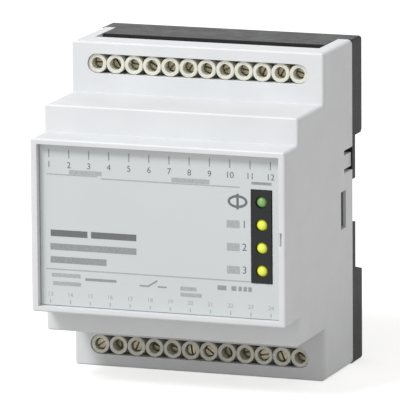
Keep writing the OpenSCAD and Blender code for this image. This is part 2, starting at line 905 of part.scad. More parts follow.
// Sealed relay with a chamfered lid edge
module relay(i) {
    size = [10.2, 20.2, 15.6];
    chamfer = 0.6;
    pins = [for (p = relay_pin_offsets) relay_at[i] + p];
    color([0.12, 0.28, 0.55])
        on_main(relay_at[i]) {
            intersection() {
                translate([-size[0] / 2, -size[1] / 2, 0])
                    cube(size);
                translate([0, size[1] / 2, 0])
                    rotate([90, 0, 0])
                        linear_extrude(size[1])
                            polygon([
                                [-size[0] / 2, 0], [size[0] / 2, 0], [size[0] / 2, size[2] - chamfer],
                                [size[0] / 2 - chamfer, size[2]], [chamfer - size[0] / 2, size[2]],
                                [-size[0] / 2, size[2] - chamfer]
                            ]);
            }
            pins_down(pins, relay_at[i]);
        }
}

// Upright capacitor cans with a crimp groove
module smoothing_capacitors() {
    can_d = 10;
    can_h = 20;
    color([0.1, 0.12, 0.3])
        for (c = capacitor_at)
            on_main(c) {
                rotate_extrude()
                    difference() {
                        square([can_d / 2, can_h]);
                        translate([can_d / 2 + 0.3, 2.4])
                            circle(0.7);
                    }
                pins_down([c - [2.5, 0], c + [2.5, 0]], c);
            }
}

module bridge_rectifier() {
    size = [15, 3.4, 10.5];
    color([0.13, 0.13, 0.14])
        on_main(rectifier_at) {
            difference() {
                translate([-size[0] / 2, -size[1] / 2, 1])
                    cube(size);
                translate([size[0] / 2, -size[1], size[2] + 1])
                    rotate([0, 45, 0])
                        cube([3.4, 2 * size[1], 3.4], center = true);
            }
            pins_down(rectifier_pins, rectifier_at, 0.7);
            for (p = rectifier_pins)
                translate([p[0] - rectifier_at[0], 0, 0])
                    cylinder(d = 0.7, h = 1.5);
        }
}

// Regulator standing on three legs, its metal tab with a hole
module voltage_regulator() {
    color([0.15, 0.15, 0.16])
        on_main(regulator_at) {
            difference() {
                union() {
                    translate([-5, -1.6, 3.5])
                        cube([10, 4.4, 9]);
                    translate([-5, 1.5, 3.5])
                        cube([10, 1.3, 15.5]);
                }
                translate([0, 5, 16])
                    rotate([90, 0, 0])
                        cylinder(d = 3.6, h = 10);
            }
            pins_down(regulator_pins, regulator_at, 0.7);
            for (p = regulator_pins)
                translate([p[0] - regulator_at[0], 0, 0])
                    cylinder(d = 0.7, h = 4);
        }
}

module varistor() {
    disc_d = 9;
    color([0.15, 0.35, 0.7])
        on_main(varistor_at) {
            translate([0, 1.8, disc_d / 2 + 0.6])
                rotate([90, 0, 0])
                    cylinder(d = disc_d, h = 3.6);
            pins_down(varistor_pins, varistor_at, 0.7);
            for (p = varistor_pins)
                translate([p[0] - varistor_at[0], 0, 0])
                    cylinder(d = 0.7, h = disc_d / 2);
        }
}

// Axial resistors lying on the board with bent leads
module resistors() {
    body_d = 2.4;
    body_l = 6.3;
    wire = 0.6;
    rise = body_d / 2 + 0.1;
    color([0.3, 0.6, 0.75])
        for (r = resistor_at)
            on_main(r) {
                translate([0, 0, rise])
                    rotate([0, 90, 0]) {
                        cylinder(d = body_d, h = body_l, center = true);
                        cylinder(d = wire, h = 2 * resistor_reach, center = true);
                    }
                for (s = [-1, 1])
                    translate([s * resistor_reach, 0, -board_t - pin_tail])
                        cylinder(d = wire, h = board_t + pin_tail + rise);
            }
}

// Flat chip with gull-wing legs, its own Z away from the board
module chip(size, legs) {
    leg_pitch = 1.27;
    translate([-size[0] / 2, -size[1] / 2, 0.15])
        cube([size[0], size[1], chip_h]);
    for (s = [-1, 1], i = [0:legs - 1])
        translate([(i - (legs - 1) / 2) * leg_pitch, s * (size[1] / 2 + 0.4), 0.6])
            cube([0.45, 1.6, 1.2], center = true);
}

module controller_chip() {
    color([0.1, 0.1, 0.11])
        translate([-6, -front_board_back, 4])
            rotate([-90, 0, 0])
                chip([18, 7.5], 14);
}

module amplifier_chips() {
    chip_y = front_board_back - 9;
    color([0.1, 0.1, 0.11])
        for (z = [-12, 0, 12])
            translate([riser_x, -chip_y, z])
                rotate([0, -90, 0])
                    rotate([0, 0, 90])
                        chip([8.7, 3.9], 7);
}

cover();
base();
rail_latch();
latch_spring();
front_label();
led_holder();
green_led();
yellow_led(1);  // yellow_led_1
yellow_led(2);  // yellow_led_2
yellow_led(3);  // yellow_led_3
terminal_block();  // top_terminal_block
bottom_row() terminal_block();  // bottom_terminal_block
terminal_screws(top_sink, top_turn);  // top_terminal_screws
bottom_row() terminal_screws(low_sink, low_turn);  // bottom_terminal_screws
wire_clamps();  // top_wire_clamps
bottom_row() wire_clamps();  // bottom_wire_clamps
contacts();  // top_contacts
bottom_row() contacts();  // bottom_contacts
main_board();
riser_board();
front_board();
transformer_core();
transformer_bobbin();
transformer_winding();
relay(0);  // relay_1
relay(1);  // relay_2
relay(2);  // relay_3
smoothing_capacitors();
bridge_rectifier();
voltage_regulator();
varistor();
resistors();
controller_chip();
amplifier_chips();
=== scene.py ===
# %% [markdown]
# # A rail-mounted relay, dressed for its picture
#
# The relay's pieces arrive from a CAD model at their real size. This lesson gives
# them their finishes, makes the small things that a CAD model leaves out, such as
# screw slots, print and a wound spring, and sets up the light and the camera.
# Everything is in metres: X runs to the right, +Y points back into the mounting
# rail, +Z is up, and the rail's middle is the origin.

import math

import bmesh
import bpy
import numpy as np
from mathutils import Matrix, Vector


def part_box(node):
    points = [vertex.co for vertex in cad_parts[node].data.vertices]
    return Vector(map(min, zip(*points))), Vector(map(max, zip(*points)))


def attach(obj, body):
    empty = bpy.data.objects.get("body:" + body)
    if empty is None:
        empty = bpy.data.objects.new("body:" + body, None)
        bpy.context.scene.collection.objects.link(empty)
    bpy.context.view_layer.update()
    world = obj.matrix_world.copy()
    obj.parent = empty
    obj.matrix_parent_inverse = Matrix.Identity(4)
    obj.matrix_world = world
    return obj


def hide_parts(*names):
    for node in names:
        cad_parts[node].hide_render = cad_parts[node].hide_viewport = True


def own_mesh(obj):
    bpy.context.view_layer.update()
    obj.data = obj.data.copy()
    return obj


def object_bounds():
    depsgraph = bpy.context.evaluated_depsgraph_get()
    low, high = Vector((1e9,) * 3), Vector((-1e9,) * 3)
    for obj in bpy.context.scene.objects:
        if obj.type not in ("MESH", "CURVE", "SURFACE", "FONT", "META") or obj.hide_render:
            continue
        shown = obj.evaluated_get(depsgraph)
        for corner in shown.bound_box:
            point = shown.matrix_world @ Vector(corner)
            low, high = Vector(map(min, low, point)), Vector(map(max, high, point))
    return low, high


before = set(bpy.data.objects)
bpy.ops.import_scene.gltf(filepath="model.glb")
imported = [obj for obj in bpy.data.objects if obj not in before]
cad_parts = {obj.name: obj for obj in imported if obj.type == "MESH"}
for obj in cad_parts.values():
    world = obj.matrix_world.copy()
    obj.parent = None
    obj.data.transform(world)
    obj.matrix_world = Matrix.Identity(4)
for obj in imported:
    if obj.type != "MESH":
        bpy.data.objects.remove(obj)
cad_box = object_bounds()
MM = 0.001

# %% [markdown]
# ## The camera
#
# A product picture is taken from far away with a long lens, so that level lines
# stay nearly parallel. A camera can be placed by hand until it looks right, or
# worked out from edges whose real lengths are known, which was done here. The
# matrix is built from three directions, so that nothing is turned by eye.

# %% Camera
CAMERA_AZIMUTH = math.radians(19.91)
CAMERA_ELEVATION = math.radians(11.02)
CAMERA_ROLL = math.radians(-0.43)
CAMERA_DISTANCE = 1.6415
CAMERA_REACH = 20.0
SIGHT_SIDE = -0.0073
SIGHT_LIFT = -0.0014
SIGHT_DEPTH = -0.0023
LENS_MM = 556.4
SENSOR_MM = 36.0


def show(name, data):
    """Makes an object and links it to the scene."""
    made = bpy.data.objects.new(name, data)
    bpy.context.scene.collection.objects.link(made)
    return made


def aim(azimuth, elevation, roll):
    """The camera's right, up and backward directions."""
    back = Vector((math.sin(azimuth) * math.cos(elevation),
                   -math.cos(azimuth) * math.cos(elevation), math.sin(elevation)))
    right = Vector((math.cos(azimuth), math.sin(azimuth), 0.0))
    up = back.cross(right)
    level_right = math.cos(roll) * right + math.sin(roll) * up
    level_up = math.cos(roll) * up - math.sin(roll) * right
    return level_right, level_up, back


right, up, back = aim(CAMERA_AZIMUTH, CAMERA_ELEVATION, CAMERA_ROLL)
lens = bpy.data.cameras.new("picture_camera")
lens.lens = LENS_MM
lens.sensor_width = SENSOR_MM
lens.clip_end = CAMERA_REACH
camera = show("picture_camera", lens)
camera.matrix_world = Matrix((right, up, back)).transposed().to_4x4()
camera.location = (CAMERA_DISTANCE * back + SIGHT_SIDE * right + SIGHT_LIFT * up
                   + Vector((0.0, SIGHT_DEPTH, 0.0)))
bpy.context.scene.camera = camera
print("camera at", [round(v, 3) for v in camera.location])

# %% [markdown]
# ## Building node trees in a script
#
# Every finish below is a small node tree. It could be wired by hand in the shader
# editor, but then it could not be read here. One helper fills a node's sockets
# with numbers or links, and the next adds a node and fills it, so that a tree
# reads as a list of what it is made of. The others stand for steps that recur.
# Noise hardly leaves the middle of its range, so only that middle is stretched.

# %% Nodes and their sockets
def fill(tree, node, sockets):
    """Gives each socket, by name or number, its value or its link."""
    for name, value in sockets.items():
        if isinstance(value, bpy.types.NodeSocket):
            tree.links.new(value, node.inputs[name])
        else:
            node.inputs[name].default_value = value


def put(tree, kind, sockets=None, **settings):
    """Adds a node with its settings and its sockets."""
    made = tree.nodes.new(kind)
    for name, value in settings.items():
        setattr(made, name, value)
    fill(tree, made, sockets or {})
    return made


def calc(tree, what, a, b=0.0):
    return put(tree, "ShaderNodeMath", {0: a, 1: b}, operation=what).outputs[0]


def times(tree, a, b):
    return calc(tree, "MULTIPLY", a, b)


def plus(tree, a, b):
    return calc(tree, "ADD", a, b)


def less(tree, a, b):
    return calc(tree, "SUBTRACT", a, b)


def distance(tree, across, up):
    """How far a point is from an axis, from its two steps away from it."""
    return calc(tree, "SQRT", plus(tree, times(tree, across, across), times(tree, up, up)))


def vector(tree, **sides):
    return put(tree, "ShaderNodeCombineXYZ", sides).outputs[0]


def joined(tree, what, a, b):
    """Two vectors added or multiplied."""
    return put(tree, "ShaderNodeVectorMath", {0: a, 1: b}, operation=what).outputs["Vector"]


def new_finish(name):
    """A material, its tree, and the place on the piece."""
    made = bpy.data.materials.new(name)
    made.use_nodes = True
    return made, made.node_tree, put(made.node_tree, "ShaderNodeTexCoord").outputs["Object"]


def coated(finish, sockets):
    """The finish with its shader's sockets filled."""
    fill(finish.node_tree, finish.node_tree.nodes["Principled BSDF"], sockets)
    return finish


print("a value of 2 mm is", 2.0 * MM, "in a socket")


# %% Colours
def paint(colour, shade=1.0):
    """A colour written as it looks on a screen, as the linear values of a socket."""
    linear = [v / 12.92 if v <= 0.04045 else ((v + 0.055) / 1.055) ** 2.4 for v in colour]
    return tuple(min(v * shade, 1.0) for v in linear) + (1.0,)


def ramp(tree, factor, stops):
    """Colours at the given places of a factor that runs from 0 to 1."""
    made = put(tree, "ShaderNodeValToRGB", {"Fac": factor})
    marks = made.color_ramp.elements
    while len(marks) < len(stops):
        marks.new(0.5)
    for mark, (at, colour) in zip(marks, stops):
        mark.position = at
        mark.color = colour
    return made.outputs["Color"]


def mixed(tree, share, one, two):
    """One colour turning into another as the share goes from 0 to 1."""
    made = put(tree, "ShaderNodeMix", {0: share, 6: one, 7: two}, data_type="RGBA")
    return made.outputs[2]


print("half grey on a screen is", round(paint((0.5, 0.5, 0.5))[0], 3), "in linear light")

# %% Noise and relief
NOISE_LOW, NOISE_HIGH = 0.3, 0.7


def noise(tree, place, size_mm, detail=3.0):
    """Noise whose blotches are about the given size."""
    return put(tree, "ShaderNodeTexNoise", {
        "Vector": place, "Scale": 1.0 / (size_mm * MM), "Detail": detail}).outputs["Fac"]


def spread(tree, factor, low, high, start=NOISE_LOW, end=NOISE_HIGH):
    """Stretches the middle of a noise over a range of values."""
    return put(tree, "ShaderNodeMapRange", {
        "Value": factor, "From Min": start, "From Max": end,
        "To Min": low, "To Max": high}).outputs["Result"]


def patchy(tree, place, size_mm, low, high):
    """A value that changes in patches of about the given size."""
    return spread(tree, noise(tree, place, size_mm), low, high)


def clouded(tree, factor, colour, darkest, lightest, start=NOISE_LOW, end=NOISE_HIGH):
    """A colour that a noise takes from a darker to a lighter shade of it."""
    return ramp(tree, factor, [(start, paint(colour, darkest)), (end, paint(colour, lightest))])


def relief(tree, height, strength, depth_mm, over=None):
    """The normal of a surface with this height in it, over another normal."""
    sockets = {"Strength": strength, "Distance": depth_mm * MM, "Height": height}
    if over is not None:
        sockets["Normal"] = over
    return put(tree, "ShaderNodeBump", sockets).outputs["Normal"]


print("noise is read from", NOISE_LOW, "to", NOISE_HIGH)

# %% [markdown]
# ## The stage
#
# The object stands on a pale floor in front of white. White could come from very
# strong lamps, but then the pale housing would burn out. Instead the floor and the
# world show white only to the camera and to reflections, through the Light Path
# node, and light the object with a calmer grey. The floor still darkens where the
# object keeps the light off, so the shadow stays.

# %% Floor and world
FLOOR_GREY = (0.57, 0.56, 0.54)
FLOOR_SHOWN = 0.66
FLOOR_REACH = 6.0
FLOOR_GAP = 0.05 * MM
AMBIENT = 0.58
WHITE = (1.0, 1.0, 1.0)


def seen_directly(tree):
    """1 for rays from the camera, from a reflection or through glass, otherwise 0."""
    path = put(tree, "ShaderNodeLightPath").outputs
    shiny = calc(tree, "MAXIMUM", path["Is Glossy Ray"], path["Is Transmission Ray"])
    return calc(tree, "MAXIMUM", path["Is Camera Ray"], shiny)


def lay_floor(height):
    made = bpy.data.materials.new("studio_floor")
    made.use_nodes = True
    tree = made.node_tree
    tree.nodes.clear()
    matt = put(tree, "ShaderNodeBsdfDiffuse", {"Color": FLOOR_GREY + (1.0,)})
    glow = put(tree, "ShaderNodeEmission", {
        "Strength": times(tree, seen_directly(tree), FLOOR_SHOWN)})
    both = put(tree, "ShaderNodeAddShader", {0: matt.outputs[0], 1: glow.outputs[0]})
    put(tree, "ShaderNodeOutputMaterial", {"Surface": both.outputs[0]})
    sheet = bpy.data.meshes.new("studio_floor")
    half = FLOOR_REACH / 2
    corners = [(x * half, y * half, height) for x, y in ((-1, -1), (1, -1), (1, 1), (-1, 1))]
    sheet.from_pydata(corners, [], [(0, 1, 2, 3)])
    sheet.materials.append(made)
    show("studio_floor", sheet)


def light_world():
    world = bpy.data.worlds.new("studio_world")
    bpy.context.scene.world = world
    world.use_nodes = True
    tree = world.node_tree
    fill(tree, tree.nodes["Background"], {
        "Color": WHITE + (1.0,),
        "Strength": spread(tree, seen_directly(tree), AMBIENT, 1.0, 0.0, 1.0)})


foot = cad_box[0][2] - FLOOR_GAP
lay_floor(foot)
light_world()
print("floor at", round(foot / MM, 2), "mm")

# %% [markdown]
# ## The studio's lamps
#
# One large soft lamp stands high at the left. A picture of a studio could light
# the object too, but a lamp's direction can be measured: the shadows in the recess
# of the display, over the recess's depth, give its height and side. A second, weak
# and wider one stands in front. It opens the shadow under the display block a
# little, as a white card beside the camera does. The view transform is Standard,
# so that a colour comes out about as it is written.

# %% Lamps of the studio
LAMP_DISTANCE = 1.5
KEY_FROM = Vector((-0.355, -0.56, 0.75))
KEY_WATTS = 15.5
KEY_SIZE = 0.45
KEY_COLOUR = (0.965, 0.985, 1.0)
FILL_FROM = Vector((-0.2, -0.95, 0.12))
FILL_WATTS = 1.6
FILL_SIZE = 0.9


def hang_lamp(name, away, watts, size, colour):
    lamp = bpy.data.lights.new(name, "AREA")
    lamp.energy = watts
    lamp.color = colour
    lamp.size = size
    holder = show(name, lamp)
    holder.location = away.normalized() * LAMP_DISTANCE
    holder.rotation_euler = away.to_track_quat("Z", "Y").to_euler()


hang_lamp("key_lamp", KEY_FROM, KEY_WATTS, KEY_SIZE, KEY_COLOUR)
hang_lamp("fill_lamp", FILL_FROM, FILL_WATTS, FILL_SIZE, WHITE)
bpy.context.scene.view_settings.view_transform = "Standard"
print("studio lamps:", KEY_WATTS, "and", FILL_WATTS, "watts")

# %% [markdown]
# ## Moulded plastic
#
# The housing is moulded in a tool whose steel was spark-eroded, so its skin has a
# fine even grain that softens every highlight. A smooth grey would look like
# painted card. The tree below has a slow unevenness of the colour, a grain of a
# third of a millimetre in the bump, and small changes of gloss. No mould makes a
# knife edge, so a Bevel node rounds the edges by a hair. Where its normal leaves
# the face's own one there is an edge, and hands have rubbed that a little paler
# and smoother.

# %% Moulded plastic
BEVEL_SAMPLES = 4
EDGE_FOUND, EDGE_NONE = 0.8, 0.99
EDGE_SMOOTHER = 0.06
GLOSS_SWING = 0.05
MOULD_CLOUD_MM = 14.0
MOULD_GLOSS_MM = 3.0
MOULD_GRAIN_MM = 0.3
MOULD_GRAIN_DEPTH_MM = 0.006


def round_edges(tree, edge_mm):
    """The normal of the surface with its sharp edges rounded."""
    return put(tree, "ShaderNodeBevel", {
        "Radius": edge_mm * MM}, samples=BEVEL_SAMPLES).outputs["Normal"]


def moulded(name, colour, roughness, uneven=0.025, edge_mm=0.25, rubbed=0.05, sheen_level=0.5):
    made, tree, place = new_finish(name)
    rounded = round_edges(tree, edge_mm)
    flat = put(tree, "ShaderNodeNewGeometry").outputs["Normal"]
    along = put(tree, "ShaderNodeVectorMath", {0: rounded, 1: flat}, operation="DOT_PRODUCT")
    edge = spread(tree, along.outputs["Value"], 1.0, 0.0, EDGE_FOUND, EDGE_NONE)
    cloud = noise(tree, place, MOULD_CLOUD_MM)
    tint = clouded(tree, cloud, colour, 1.0 - uneven, 1.0 + uneven)
    gloss = patchy(tree, place, MOULD_GLOSS_MM, roughness - GLOSS_SWING, roughness + GLOSS_SWING)
    smoother = times(tree, edge, EDGE_SMOOTHER)
    grain = noise(tree, place, MOULD_GRAIN_MM, 2.0)
    return coated(made, {
        "Specular IOR Level": sheen_level,
        "Base Color": mixed(tree, edge, tint, paint(colour, 1.0 + rubbed)),
        "Roughness": less(tree, gloss, smoother),
        "Normal": relief(tree, grain, 0.5, MOULD_GRAIN_DEPTH_MM, rounded)})


cover_plastic = moulded("pale_grey_moulding", (0.852, 0.856, 0.862), 0.48)
base_plastic = moulded("dark_grey_moulding", (0.2, 0.2, 0.205), 0.3,
                       uneven=0.1, rubbed=0.9, sheen_level=0.03)
latch_plastic = moulded("black_latch_moulding", (0.17, 0.17, 0.18), 0.4,
                        uneven=0.1, rubbed=0.9, sheen_level=0.15)
holder_plastic = moulded("lamp_holder_moulding", (0.155, 0.165, 0.16), 0.45,
                         uneven=0.1, edge_mm=0.12, sheen_level=0.2)
bobbin_plastic = moulded("bobbin_moulding", (0.12, 0.12, 0.13), 0.5, uneven=0.1)
print("moulded:", [m.name for m in bpy.data.materials if "moulding" in m.name])

# %% [markdown]
# ## Cream nylon
#
# The terminal blocks are unfilled nylon, which lets light in by a millimetre or
# two, so their wells are not as dark as those of a filled plastic. A paler colour
# alone would make the collars' faces too bright. The moulded finish is used again,
# and Principled's subsurface lets the light spread below the skin.

# %% Cream nylon
NYLON_SHARE = 0.5
NYLON_DEPTH = 2.0 * MM
NYLON_DEPTHS_OF_COLOURS = (1.0, 0.9, 0.7)

collar_plastic = moulded("cream_terminal_moulding", (0.87, 0.86, 0.805), 0.42,
                         uneven=0.04, edge_mm=0.15)
coated(collar_plastic, {
    "Subsurface Weight": NYLON_SHARE, "Subsurface Scale": NYLON_DEPTH,
    "Subsurface Radius": NYLON_DEPTHS_OF_COLOURS})
print("light goes", NYLON_DEPTH / MM, "mm into", collar_plastic.name)

# %% [markdown]
# ## Printed film
#
# The front is a thin sheet of film, printed on its back and embossed on its face
# with a velvet grain. It could share the housing's finish, but it is greyer and
# reflects more evenly, so it gets a tree of its own. Ink gets one too: it covers
# unevenly, which shows as small lighter and darker spots.

# %% Film and ink
def printed_film(name, colour):
    made, tree, place = new_finish(name)
    velvet = noise(tree, place, 0.12, 1.0)
    return coated(made, {
        "Base Color": clouded(tree, noise(tree, place, 22.0, 2.0), colour, 0.985, 1.015),
        "Roughness": patchy(tree, place, 5.0, 0.5, 0.6),
        "Normal": relief(tree, velvet, 0.35, 0.003)})


def ink(name, colour):
    made, tree, place = new_finish(name)
    cover = noise(tree, place, 0.5)
    return coated(made, {
        "Base Color": clouded(tree, cover, colour, 0.85, 1.2, 0.25, 0.75),
        "Roughness": spread(tree, cover, 0.45, 0.65),
        "Normal": relief(tree, cover, 0.3, 0.002)})


label_film = printed_film("embossed_film", (0.797, 0.812, 0.815))
grey_ink = ink("grey_ink", (0.56, 0.575, 0.58))
pale_ink = ink("pale_grey_ink", (0.65, 0.665, 0.67))
dark_ink = ink("dark_ink", (0.4, 0.41, 0.42))
print("print:", label_film.name, grey_ink.name, pale_ink.name, dark_ink.name)

# %% [markdown]
# ## Worked metal
#
# Bare metal has Metallic at 1, so its whole look lies in its colour and roughness.
# Sheet and wire carry fine streaks from rolling and drawing. They could come from a
# picture of scratches, but a noise squeezed along one axis by a Mapping node has no
# seams and fits any size. Plating dulls in patches, so a slower noise darkens it.

# %% Metals
STREAK_MM = 0.1
TARNISH_MM = 1.4
TARNISH = 0.75


def worked_metal(name, colour, roughness, squeeze):
    made, tree, place = new_finish(name)
    squeezed = put(tree, "ShaderNodeMapping", {"Vector": place, "Scale": squeeze})
    streaks = noise(tree, squeezed.outputs["Vector"], STREAK_MM, 2.0)
    patches = noise(tree, place, TARNISH_MM)
    return coated(made, {
        "Metallic": 1.0,
        "Base Color": clouded(tree, patches, colour, TARNISH, 1.0, 0.35, 0.65),
        "Roughness": spread(tree, streaks, roughness - 0.08, roughness + 0.1),
        "Normal": relief(tree, streaks, 0.4, 0.004)})


spring_steel = worked_metal("drawn_spring_steel", (0.66, 0.66, 0.67), 0.28, (1.0, 1.0, 6.0))
clamp_zinc = worked_metal("zinc_plated_clamp", (0.7, 0.68, 0.6), 0.35, (1.0, 6.0, 1.0))
contact_tin = worked_metal("tinned_contact", (0.8, 0.79, 0.76), 0.3, (6.0, 1.0, 1.0))
print("metals:", spring_steel.name, clamp_zinc.name, contact_tin.name)

# %% [markdown]
# ## Signal lamps
#
# A diffuse lamp that is switched on is brightest over its chip and falls off
# towards its rim, where the tinted plastic is seen edge on. One even glow would
# look like a sticker. The fall-off follows the distance from the lamp's own axis,
# so each lamp's finish is told where that axis is, from the piece's box.

# %% Signal lamps
GREEN = (0.5, 0.63, 0.41), (0.42, 0.57, 0.31), (0.27, 0.43, 0.17)
YELLOW = (0.8, 0.84, 0.34), (0.78, 0.81, 0.21), (0.67, 0.68, 0.1)
GREEN_GLOW, YELLOW_GLOW = 0.24, 0.42
RIM_SHADE = 0.6


def lamp_axis(node):
    low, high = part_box(node)
    return (low[0] + high[0]) / 2, (low[2] + high[2]) / 2, (high[0] - low[0]) / 2


def lit_lens(name, node, core, body, rim, strength):
    made, tree, place = new_finish(name)
    x, z, radius = lamp_axis(node)
    centred = put(tree, "ShaderNodeMapping", {"Vector": place, "Location": (-x, 0.0, -z)})
    level = joined(tree, "MULTIPLY", centred.outputs["Vector"], (1.0, 0.0, 1.0))
    away = put(tree, "ShaderNodeVectorMath", {0: level}, operation="LENGTH")
    share = calc(tree, "DIVIDE", away.outputs["Value"], radius)
    uneven = patchy(tree, place, 0.5, -0.04, 0.04)
    glow = ramp(tree, plus(tree, share, uneven), [
        (0.2, paint(core)), (0.6, paint(body)), (0.9, paint(rim)), (0.99, paint(rim, RIM_SHADE))])
    return coated(made, {
        "Base Color": glow, "Emission Color": glow, "Emission Strength": strength,
        "Roughness": patchy(tree, place, 0.8, 0.25, 0.35),
        "Normal": relief(tree, noise(tree, place, 0.6, 1.0), 0.2, 0.01)})


green_lens = lit_lens("green_lamp_lens", "green_led", *GREEN, GREEN_GLOW)
yellow_lenses = {name: lit_lens(name + "_lens", name, *YELLOW, YELLOW_GLOW)
                 for name in ("yellow_led_1", "yellow_led_2", "yellow_led_3")}
print("signal lamps:", green_lens.name, list(yellow_lenses))

# %% [markdown]
# ## Circuit boards
#
# Nothing inside shows in the picture, but whoever lifts the cover sees it. A board
# is glass weave under green resist, with copper tracks that stand out a little.
# Real tracks could be drawn one by one, but a Brick texture on the usual grid gives
# the same look for nothing.

# %% Circuit boards
GRID = 2.54 * MM
TRACK_RUN = 7.6 * MM
TRACK_W = 0.35 * MM
WEAVE = 0.9 * MM
WEAVE_SHARE = 0.15


def laminate(name, resist, track):
    made, tree, place = new_finish(name)
    turned = put(tree, "ShaderNodeMapping", {
        "Vector": place, "Rotation": (math.pi / 2, 0.0, 0.0)}).outputs["Vector"]
    tracks = put(tree, "ShaderNodeTexBrick", {
        "Vector": turned, "Color1": paint(resist), "Color2": paint(resist, 0.85),
        "Mortar": paint(track), "Scale": 1.0, "Mortar Size": TRACK_W, "Mortar Smooth": 0.2,
        "Brick Width": TRACK_RUN, "Row Height": GRID}, offset=0.37, offset_frequency=3)
    shaded = put(tree, "ShaderNodeHueSaturation", {
        "Color": tracks.outputs["Color"],
        "Value": patchy(tree, place, 9.0, 0.9, 1.1)})
    weave = put(tree, "ShaderNodeTexChecker", {"Vector": place, "Scale": 1.0 / WEAVE})
    woven = times(tree, weave.outputs["Fac"], WEAVE_SHARE)
    return coated(made, {
        "Base Color": shaded.outputs["Color"],
        "Roughness": patchy(tree, place, 1.0, 0.22, 0.34),
        "Normal": relief(tree, plus(tree, tracks.outputs["Fac"], woven), 0.5, 0.03)})


board_laminate = laminate("green_resist_laminate", (0.07, 0.3, 0.16), (0.2, 0.47, 0.26))
print("boards:", board_laminate.name)

# %% [markdown]
# ## Layers: laminations and tape
#
# A transformer's core is a stack of varnished sheets, and its winding is wrapped in
# tape. Each sheet could be a mesh, at hundreds of faces for a piece that is hardly
# seen. A Wave texture draws the layers instead. It has one line in each tenth of pi
# over its scale, and a little noise bends the lines.

# %% Layers
LINE_WANDER = 0.06 * MM


def layered(name, colour, line_mm, axis, metallic, roughness, depth=0.45):
    """Thin layers stacked along an axis, each with a dark line beside it."""
    made, tree, place = new_finish(name)
    wander = put(tree, "ShaderNodeTexNoise", {"Vector": place, "Scale": 300.0})
    shift = put(tree, "ShaderNodeVectorMath", {
        0: wander.outputs["Color"], "Scale": LINE_WANDER}, operation="SCALE")
    lines = put(tree, "ShaderNodeTexWave", {
        "Vector": joined(tree, "ADD", place, shift.outputs["Vector"]),
        "Scale": math.pi / (10.0 * line_mm * MM), "Distortion": 0.0},
        wave_type="BANDS", bands_direction=axis).outputs["Fac"]
    shade = noise(tree, place, 2.5)
    gap = spread(tree, lines, depth, 0.0, 0.0, 0.35)
    return coated(made, {
        "Metallic": metallic,
        "Base Color": mixed(tree, gap, clouded(tree, shade, colour, 0.8, 1.1),
                            paint(colour, 0.35)),
        "Roughness": spread(tree, shade, roughness - 0.06, roughness + 0.06),
        "Normal": relief(tree, lines, 0.6, 0.03)})


core_steel = layered("varnished_laminations", (0.4, 0.41, 0.43), 0.5, "Z", 0.8, 0.42)
winding_tape = layered("wound_tape", (0.86, 0.68, 0.16), 2.6, "Y", 0.0, 0.25, 0.25)
print("layers:", core_steel.name, winding_tape.name)

# %% [markdown]
# ## Relay cases, dipped coats and epoxy
#
# Relays sit in glossy moulded cases, a varistor is dipped in lacquer, and chips are
# pressed from matt epoxy. Three trees could be built, but they differ only in
# gloss, in the size of their dimples and in a clear coat, so one function does.

# %% Gloss
def glossy(name, colour, roughness, coat=0.0, dimple_mm=1.2, depth_mm=0.02):
    made, tree, place = new_finish(name)
    return coated(made, {
        "Coat Weight": coat, "Coat Roughness": 0.1,
        "Base Color": clouded(tree, noise(tree, place, 4.0), colour, 0.92, 1.08),
        "Roughness": patchy(tree, place, 1.5, roughness - GLOSS_SWING, roughness + GLOSS_SWING),
        "Normal": relief(tree, noise(tree, place, dimple_mm, 1.0), 0.4, depth_mm,
                         round_edges(tree, 0.2))})


relay_case = glossy("sealed_relay_case", (0.1, 0.25, 0.5), 0.3)
varistor_coat = glossy("dipped_varistor_coat", (0.12, 0.3, 0.62), 0.2, 0.6, 2.0, 0.05)
device_black = glossy("moulded_epoxy", (0.1, 0.1, 0.11), 0.55, 0.0, 0.15, 0.01)
print("glossy:", relay_case.name, varistor_coat.name, device_black.name)

# %% [markdown]
# ## Capacitor cans
#
# An electrolytic capacitor is an aluminium can in a shrunk sleeve, with a pale
# stripe on the side of its minus lead, and a bare lid with a pressed cross that
# tears open under pressure. Sleeve and lid could be pieces of their own, but they
# are one skin, so distances from each can's axis say what a point belongs to.

# %% Capacitor cans
LID_DEPTH = 0.05 * MM
SLEEVE_TURNED_IN = 0.8 * MM
STRIPE_HALF = 1.3 * MM
CROSS_FROM, CROSS_TO = 0.1 * MM, 0.3 * MM


